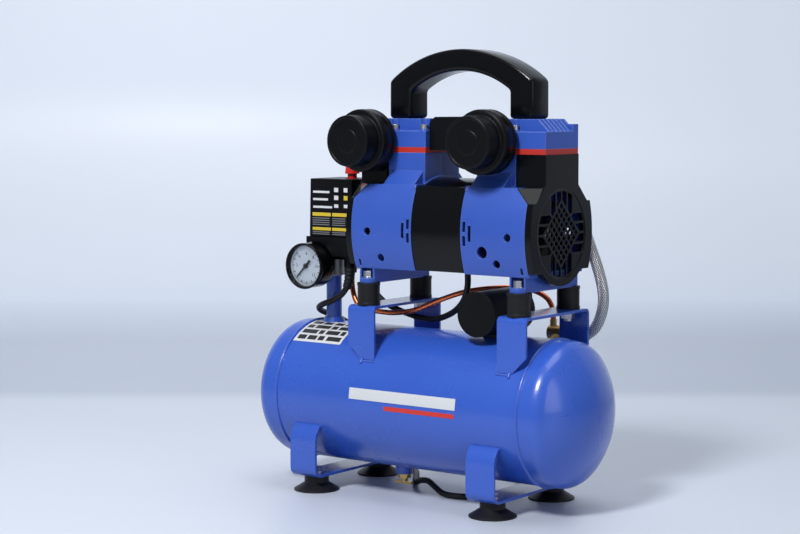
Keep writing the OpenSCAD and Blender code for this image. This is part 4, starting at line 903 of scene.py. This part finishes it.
piece("panel_yellow", panel([(5, 24, 27, 4), (34, 24, 21, 4), (5, 7.5, 27, 3.5), (34, 7.5, 21, 3.5),
                             (51, 43, 5.5, 5)]), YELLOW_INK)
GREY_ROWS = (21, 18.5, 16, 13.5, 5, 2.8)
piece("panel_grey", panel([(x, z, w, 1.1) for x, w in ((5, 25), (34, 19)) for z in GREY_ROWS], 0.10),
      GREY_INK)
piece("panel_white", panel([(6, 50.5, 24, 2.5), (6, 42, 22, 2.5), (6, 33.2, 28, 2.5), (37, 52, 6, 5),
                            (51, 52, 5.5, 5), (37, 43, 6, 5), (37, 34, 6, 4), (51, 34, 5.5, 4)]), WHITE_INK)

# %% [markdown]
# ## Weld beads
# The brackets, straps and the riser are welded to the tank. A bead is a row of overlapping ripples,
# which Geometry Nodes lay along a line: it resamples the line and puts a flattened ball on each
# point, then turns them all into one mesh.

# %% Beads along a line
def bead_tree():
    tree = bpy.data.node_groups.new("weld_nodes", "GeometryNodeTree")
    tree.interface.new_socket(name="Geometry", in_out="INPUT", socket_type="NodeSocketGeometry")
    tree.interface.new_socket(name="Geometry", in_out="OUTPUT", socket_type="NodeSocketGeometry")
    step = tree.interface.new_socket(name="Step", in_out="INPUT", socket_type="NodeSocketFloat")
    size = tree.interface.new_socket(name="Size", in_out="INPUT", socket_type="NodeSocketFloat")
    n, link = tree.nodes, tree.links.new
    given, result = n.new("NodeGroupInput"), n.new("NodeGroupOutput")
    line = n.new("GeometryNodeMeshToCurve")
    link(given.outputs["Geometry"], line.inputs["Mesh"])
    points = n.new("GeometryNodeCurveToPoints")
    points.mode = "LENGTH"
    link(line.outputs["Curve"], points.inputs["Curve"])
    link(given.outputs["Step"], points.inputs["Length"])
    ball = n.new("GeometryNodeMeshIcoSphere")
    ball.inputs["Subdivisions"].default_value = 2
    link(given.outputs["Size"], ball.inputs["Radius"])
    copies = n.new("GeometryNodeInstanceOnPoints")
    link(points.outputs["Points"], copies.inputs["Points"])
    link(ball.outputs["Mesh"], copies.inputs["Instance"])
    link(points.outputs["Rotation"], copies.inputs["Rotation"])
    ripple = n.new("FunctionNodeRandomValue")
    ripple.data_type = "FLOAT_VECTOR"
    ripple.inputs["Min"].default_value = (0.85, 0.85, 0.55)
    ripple.inputs["Max"].default_value = (1.1, 1.1, 0.75)
    ripple.inputs["Seed"].default_value = 7
    link(ripple.outputs["Value"], copies.inputs["Scale"])
    real = n.new("GeometryNodeRealizeInstances")
    link(copies.outputs["Instances"], real.inputs["Geometry"])
    smooth = n.new("GeometryNodeSetShadeSmooth")
    link(real.outputs["Geometry"], smooth.inputs["Geometry"])
    paint = n.new("GeometryNodeSetMaterial")
    paint.inputs["Material"].default_value = ENAMEL
    link(smooth.outputs["Geometry"], paint.inputs["Geometry"])
    link(paint.outputs["Geometry"], result.inputs["Geometry"])
    return tree, step.identifier, size.identifier


BEADS, BEAD_STEP, BEAD_SIZE = bead_tree()


def weld(name, lines, step, size):
    """One piece for several lines of points."""
    mesh = bpy.data.meshes.new(name)
    verts, edges = [], []
    for line in lines:
        first = len(verts)
        verts += [tuple(p) for p in line]
        edges += [(first + i, first + i + 1) for i in range(len(line) - 1)]
    mesh.from_pydata(verts, edges, [])
    obj = bpy.data.objects.new(name, mesh)
    bpy.context.scene.collection.objects.link(obj)
    nodes = obj.modifiers.new("beads", "NODES")
    nodes.node_group = BEADS
    nodes[BEAD_STEP] = step
    nodes[BEAD_SIZE] = size
    bake_modifiers(obj)
    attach(obj, "base")
    return obj


def on_tank(x, a, lift=0.0):
    """A point on the tank's skin; a is the angle from the top, positive to the front."""
    r = TANK_R + lift
    return Vector((x, -r * math.sin(a), TANK_Z + r * math.cos(a)))


strap_lines, saddle_lines, seam_lines, tip_lines = [], [], [], []
for node in ("foot_strap_left", "foot_strap_right"):
    (x0, y0, z0), (x1, y1, z1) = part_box(node)
    a = math.acos((z1 - 1.5 * MM - TANK_Z) / TANK_R)
    for s in (1, -1):
        strap_lines.append([on_tank(x0 + (x1 - x0) * k / 8, s * a) for k in range(9)])
for x0, x1 in ((-51.0 * MM, -34.5 * MM), (129.5 * MM, 146.0 * MM)):
    for s in (1, -1):
        a = math.asin(64.8 * MM / TANK_R)
        saddle_lines.append([on_tank(x0 + (x1 - x0) * k / 8, s * a, 0.2 * MM) for k in range(9)])
        outer = x0 if x0 < 0 else x1
        tip_lines.append([on_tank(outer, s * (a - 0.02), 0.6 * MM), on_tank(outer, s * (a + 0.03), 0.6 * MM)])
(ex0, ey0, ez0), (ex1, ey1, ez1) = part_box("tank_shell")
for x in (ex0, ex1):
    seam_lines.append([on_tank(x, 2 * math.pi * k / 96, -0.5 * MM) for k in range(97)])
beads = weld("weld_beads", strap_lines + saddle_lines, 1.5 * MM, 1.5 * MM)
weld("tank_seams", seam_lines, 1.2 * MM, 1.3 * MM)
weld("weld_ends", tip_lines, 1.3 * MM, 2.2 * MM)
print("weld beads:", len(beads.data.polygons), "faces")

# %% [markdown]
# ## Finishes on the CAD nodes
# Each node keeps its CAD shape and gets the finish that its material slot names. The castings of the
# pump take a duller, more sandy blue than the tank, as a painted die casting does.

# %% Give every CAD node its finish
FINISHES = {"blue_enamel": ENAMEL, "red_plate": RED, "black_plastic": MATT, "black_gloss": GLOSS,
            "black_rubber": RUBBER, "red_knob": KNOB, "steel": STEEL, "braid": STEEL, "cast_metal": CAST,
            "brass": BRASS, "copper": COPPER, "dial_white": PAPER, "clear": GLASS, "foam": FELT,
            "core_iron": IRON}
CAST_NODES = ("crankcase_left", "crankcase_right", "head_left", "head_right")
for part in frame["record"]["subparts"]:
    node = frame["nodes"][part["node"]]
    finish_of_node = CASTING if part["node"] in CAST_NODES else FINISHES[part["material_slot"]]
    if part["node"] in ("stator_cover", "fan_cover_left", "fan_cover_right"):
        finish_of_node = GLOSS
    if part["node"] == "gauge_needle":
        finish_of_node = INK
    if not node.material_slots:
        node.data.materials.append(finish_of_node)
    for place in node.material_slots:
        place.material = finish_of_node

# %% [markdown]
# ## Stage and light
# A pale, slightly glossy floor runs up into a wall. One small strong light stands in front and high
# up, so that the shadows are crisp; broad weak lights and the world fill them with cool grey.

# %% The stage's paint
def stage_paint():
    """A floor with painted shade darkening it to the right, a painted shadow line where it bends into the
    wall, and a wall above that painted light makes lighter and glowing towards its top.
    """
    mat = finish("stage", (0.62, 0.66, 0.74), (0.62, 0.66, 0.74), (0.36, 0.42), edge=0.0001, grain=6.0,
                 depth=0.00005, cloud=1.5, edge_wear_and_highlight=0.0, shade=0.02)
    n, link = mat.node_tree.nodes, mat.node_tree.links.new
    where = n.new("ShaderNodeTexCoord")
    turned = n.new("ShaderNodeVectorRotate")
    turned.rotation_type = "Z_AXIS"
    turned.inputs["Angle"].default_value = math.radians(-36.7)
    link(where.outputs["Object"], turned.inputs["Vector"])
    split = n.new("ShaderNodeSeparateXYZ")
    link(turned.outputs["Vector"], split.inputs["Vector"])

    def ramp(source, low, high, stops):
        reach = n.new("ShaderNodeMapRange")
        reach.inputs["From Min"].default_value = low
        reach.inputs["From Max"].default_value = high
        link(source, reach.inputs["Value"])
        colours = n.new("ShaderNodeValToRGB")
        while len(colours.color_ramp.elements) < len(stops):
            colours.color_ramp.elements.new(0.5)
        for element, (at, colour) in zip(colours.color_ramp.elements, stops):
            element.position = at
            element.color = (*colour, 1)
        link(reach.outputs["Result"], colours.inputs["Fac"])
        return colours.outputs["Color"]

    # painted shade and light by distance back: a painted shadow line where the floor bends into the wall, and
    # the wall painted lighter towards its top
    depth = ramp(split.outputs["Y"], 0.0, 4.0, [(0.0, (0.54, 0.585, 0.665)), (0.17, (0.53, 0.58, 0.66)),
                                                (0.19, (0.42, 0.47, 0.56)), (0.50, (0.50, 0.55, 0.64)),
                                                (1.0, (0.70, 0.73, 0.79))])
    # painted shade: the floor and wall darken towards the right
    painted_shade_across = ramp(split.outputs["X"], -0.6, 0.8, [(0.0, (1.0, 1.0, 1.0)), (0.5, (0.95, 0.95, 0.955)),
                                                  (1.0, (0.84, 0.85, 0.86))])
    # painted light: the wall glows by emission, more towards its top, though no lamp is there
    painted_wall_glow = ramp(split.outputs["Y"], 0.0, 4.0, [(0.0, (0.0, 0.0, 0.0)), (0.19, (0.01, 0.012, 0.015)),
                                               (0.35, (0.03, 0.035, 0.045)), (0.50, (0.16, 0.18, 0.21)),
                                               (0.64, (0.30, 0.32, 0.35))])
    link(painted_wall_glow, n["Principled BSDF"].inputs["Emission Color"])
    n["Principled BSDF"].inputs["Emission Strength"].default_value = 1.0
    both = n.new("ShaderNodeMix")
    both.data_type = "RGBA"
    both.blend_type = "MULTIPLY"
    both.inputs[0].default_value = 1.0
    link(depth, both.inputs[6])
    link(painted_shade_across, both.inputs[7])
    link(both.outputs[2], n["Principled BSDF"].inputs["Base Color"])
    # from behind or below, the stage lets the eye through to the machine
    clear, facing, mix = (n.new("ShaderNodeBsdfTransparent"), n.new("ShaderNodeNewGeometry"),
                          n.new("ShaderNodeMixShader"))
    link(facing.outputs["Backfacing"], mix.inputs["Fac"])
    link(n["Principled BSDF"].outputs["BSDF"], mix.inputs[1])
    link(clear.outputs["BSDF"], mix.inputs[2])
    link(mix.outputs["Shader"], n["Material Output"].inputs["Surface"])
    return mat


STAGE = stage_paint()

# %% Floor and wall
turn_r, wall_y, steps = 0.5, 2.6, 16
rows = [(-6.0, 0.0), (wall_y - turn_r, 0.0)]
rows += [(wall_y - turn_r + turn_r * math.sin(math.pi / 2 * k / steps),
          turn_r - turn_r * math.cos(math.pi / 2 * k / steps)) for k in range(1, steps + 1)]
rows += [(wall_y, 4.0)]
stage_bm = bmesh.new()
back = Matrix.Rotation(math.radians(36.7), 4, "Z")
lines = [[stage_bm.verts.new(back @ Vector((x, y, z))) for x in (-7.0, 7.0)] for y, z in rows]
for a, b in zip(lines, lines[1:]):
    stage_bm.faces.new([a[0], a[1], b[1], b[0]])
stage_mesh = bpy.data.meshes.new("stage")
stage_bm.to_mesh(stage_mesh)
stage_bm.free()
stage_mesh.polygons.foreach_set("use_smooth", [True] * len(stage_mesh.polygons))
stage = bpy.data.objects.new("stage", stage_mesh)
stage_mesh.materials.append(STAGE)
bpy.context.scene.collection.objects.link(stage)


# %% Lights
def softbox(name, place, aim, size, power, colour=(1, 1, 1)):
    light = bpy.data.lights.new(name, "AREA")
    light.shape = "RECTANGLE"
    light.size, light.size_y = size
    light.energy = power
    light.color = colour
    obj = bpy.data.objects.new(name, light)
    obj.location = place
    obj.rotation_euler = (Vector(aim) - Vector(place)).to_track_quat("-Z", "Y").to_euler()
    bpy.context.scene.collection.objects.link(obj)
    return obj


softbox("key", (0.15, -1.9, 2.2), (0, 0, 0.2), (0.5, 0.5), 68)
softbox("top", (0.1, 0.3, 2.6), (0, 0, 0.2), (2.4, 1.6), 30)
softbox("side", (2.6, -0.4, 1.0), (0, 0, 0.25), (0.8, 1.6), 8)
world = bpy.data.worlds.new("room")
world.use_nodes = True
sky = world.node_tree.nodes["Background"]
sky.inputs["Color"].default_value = (0.82, 0.86, 0.93, 1)
sky.inputs["Strength"].default_value = 0.26
bpy.context.scene.world = world
bpy.context.scene.view_settings.view_transform = "Standard"
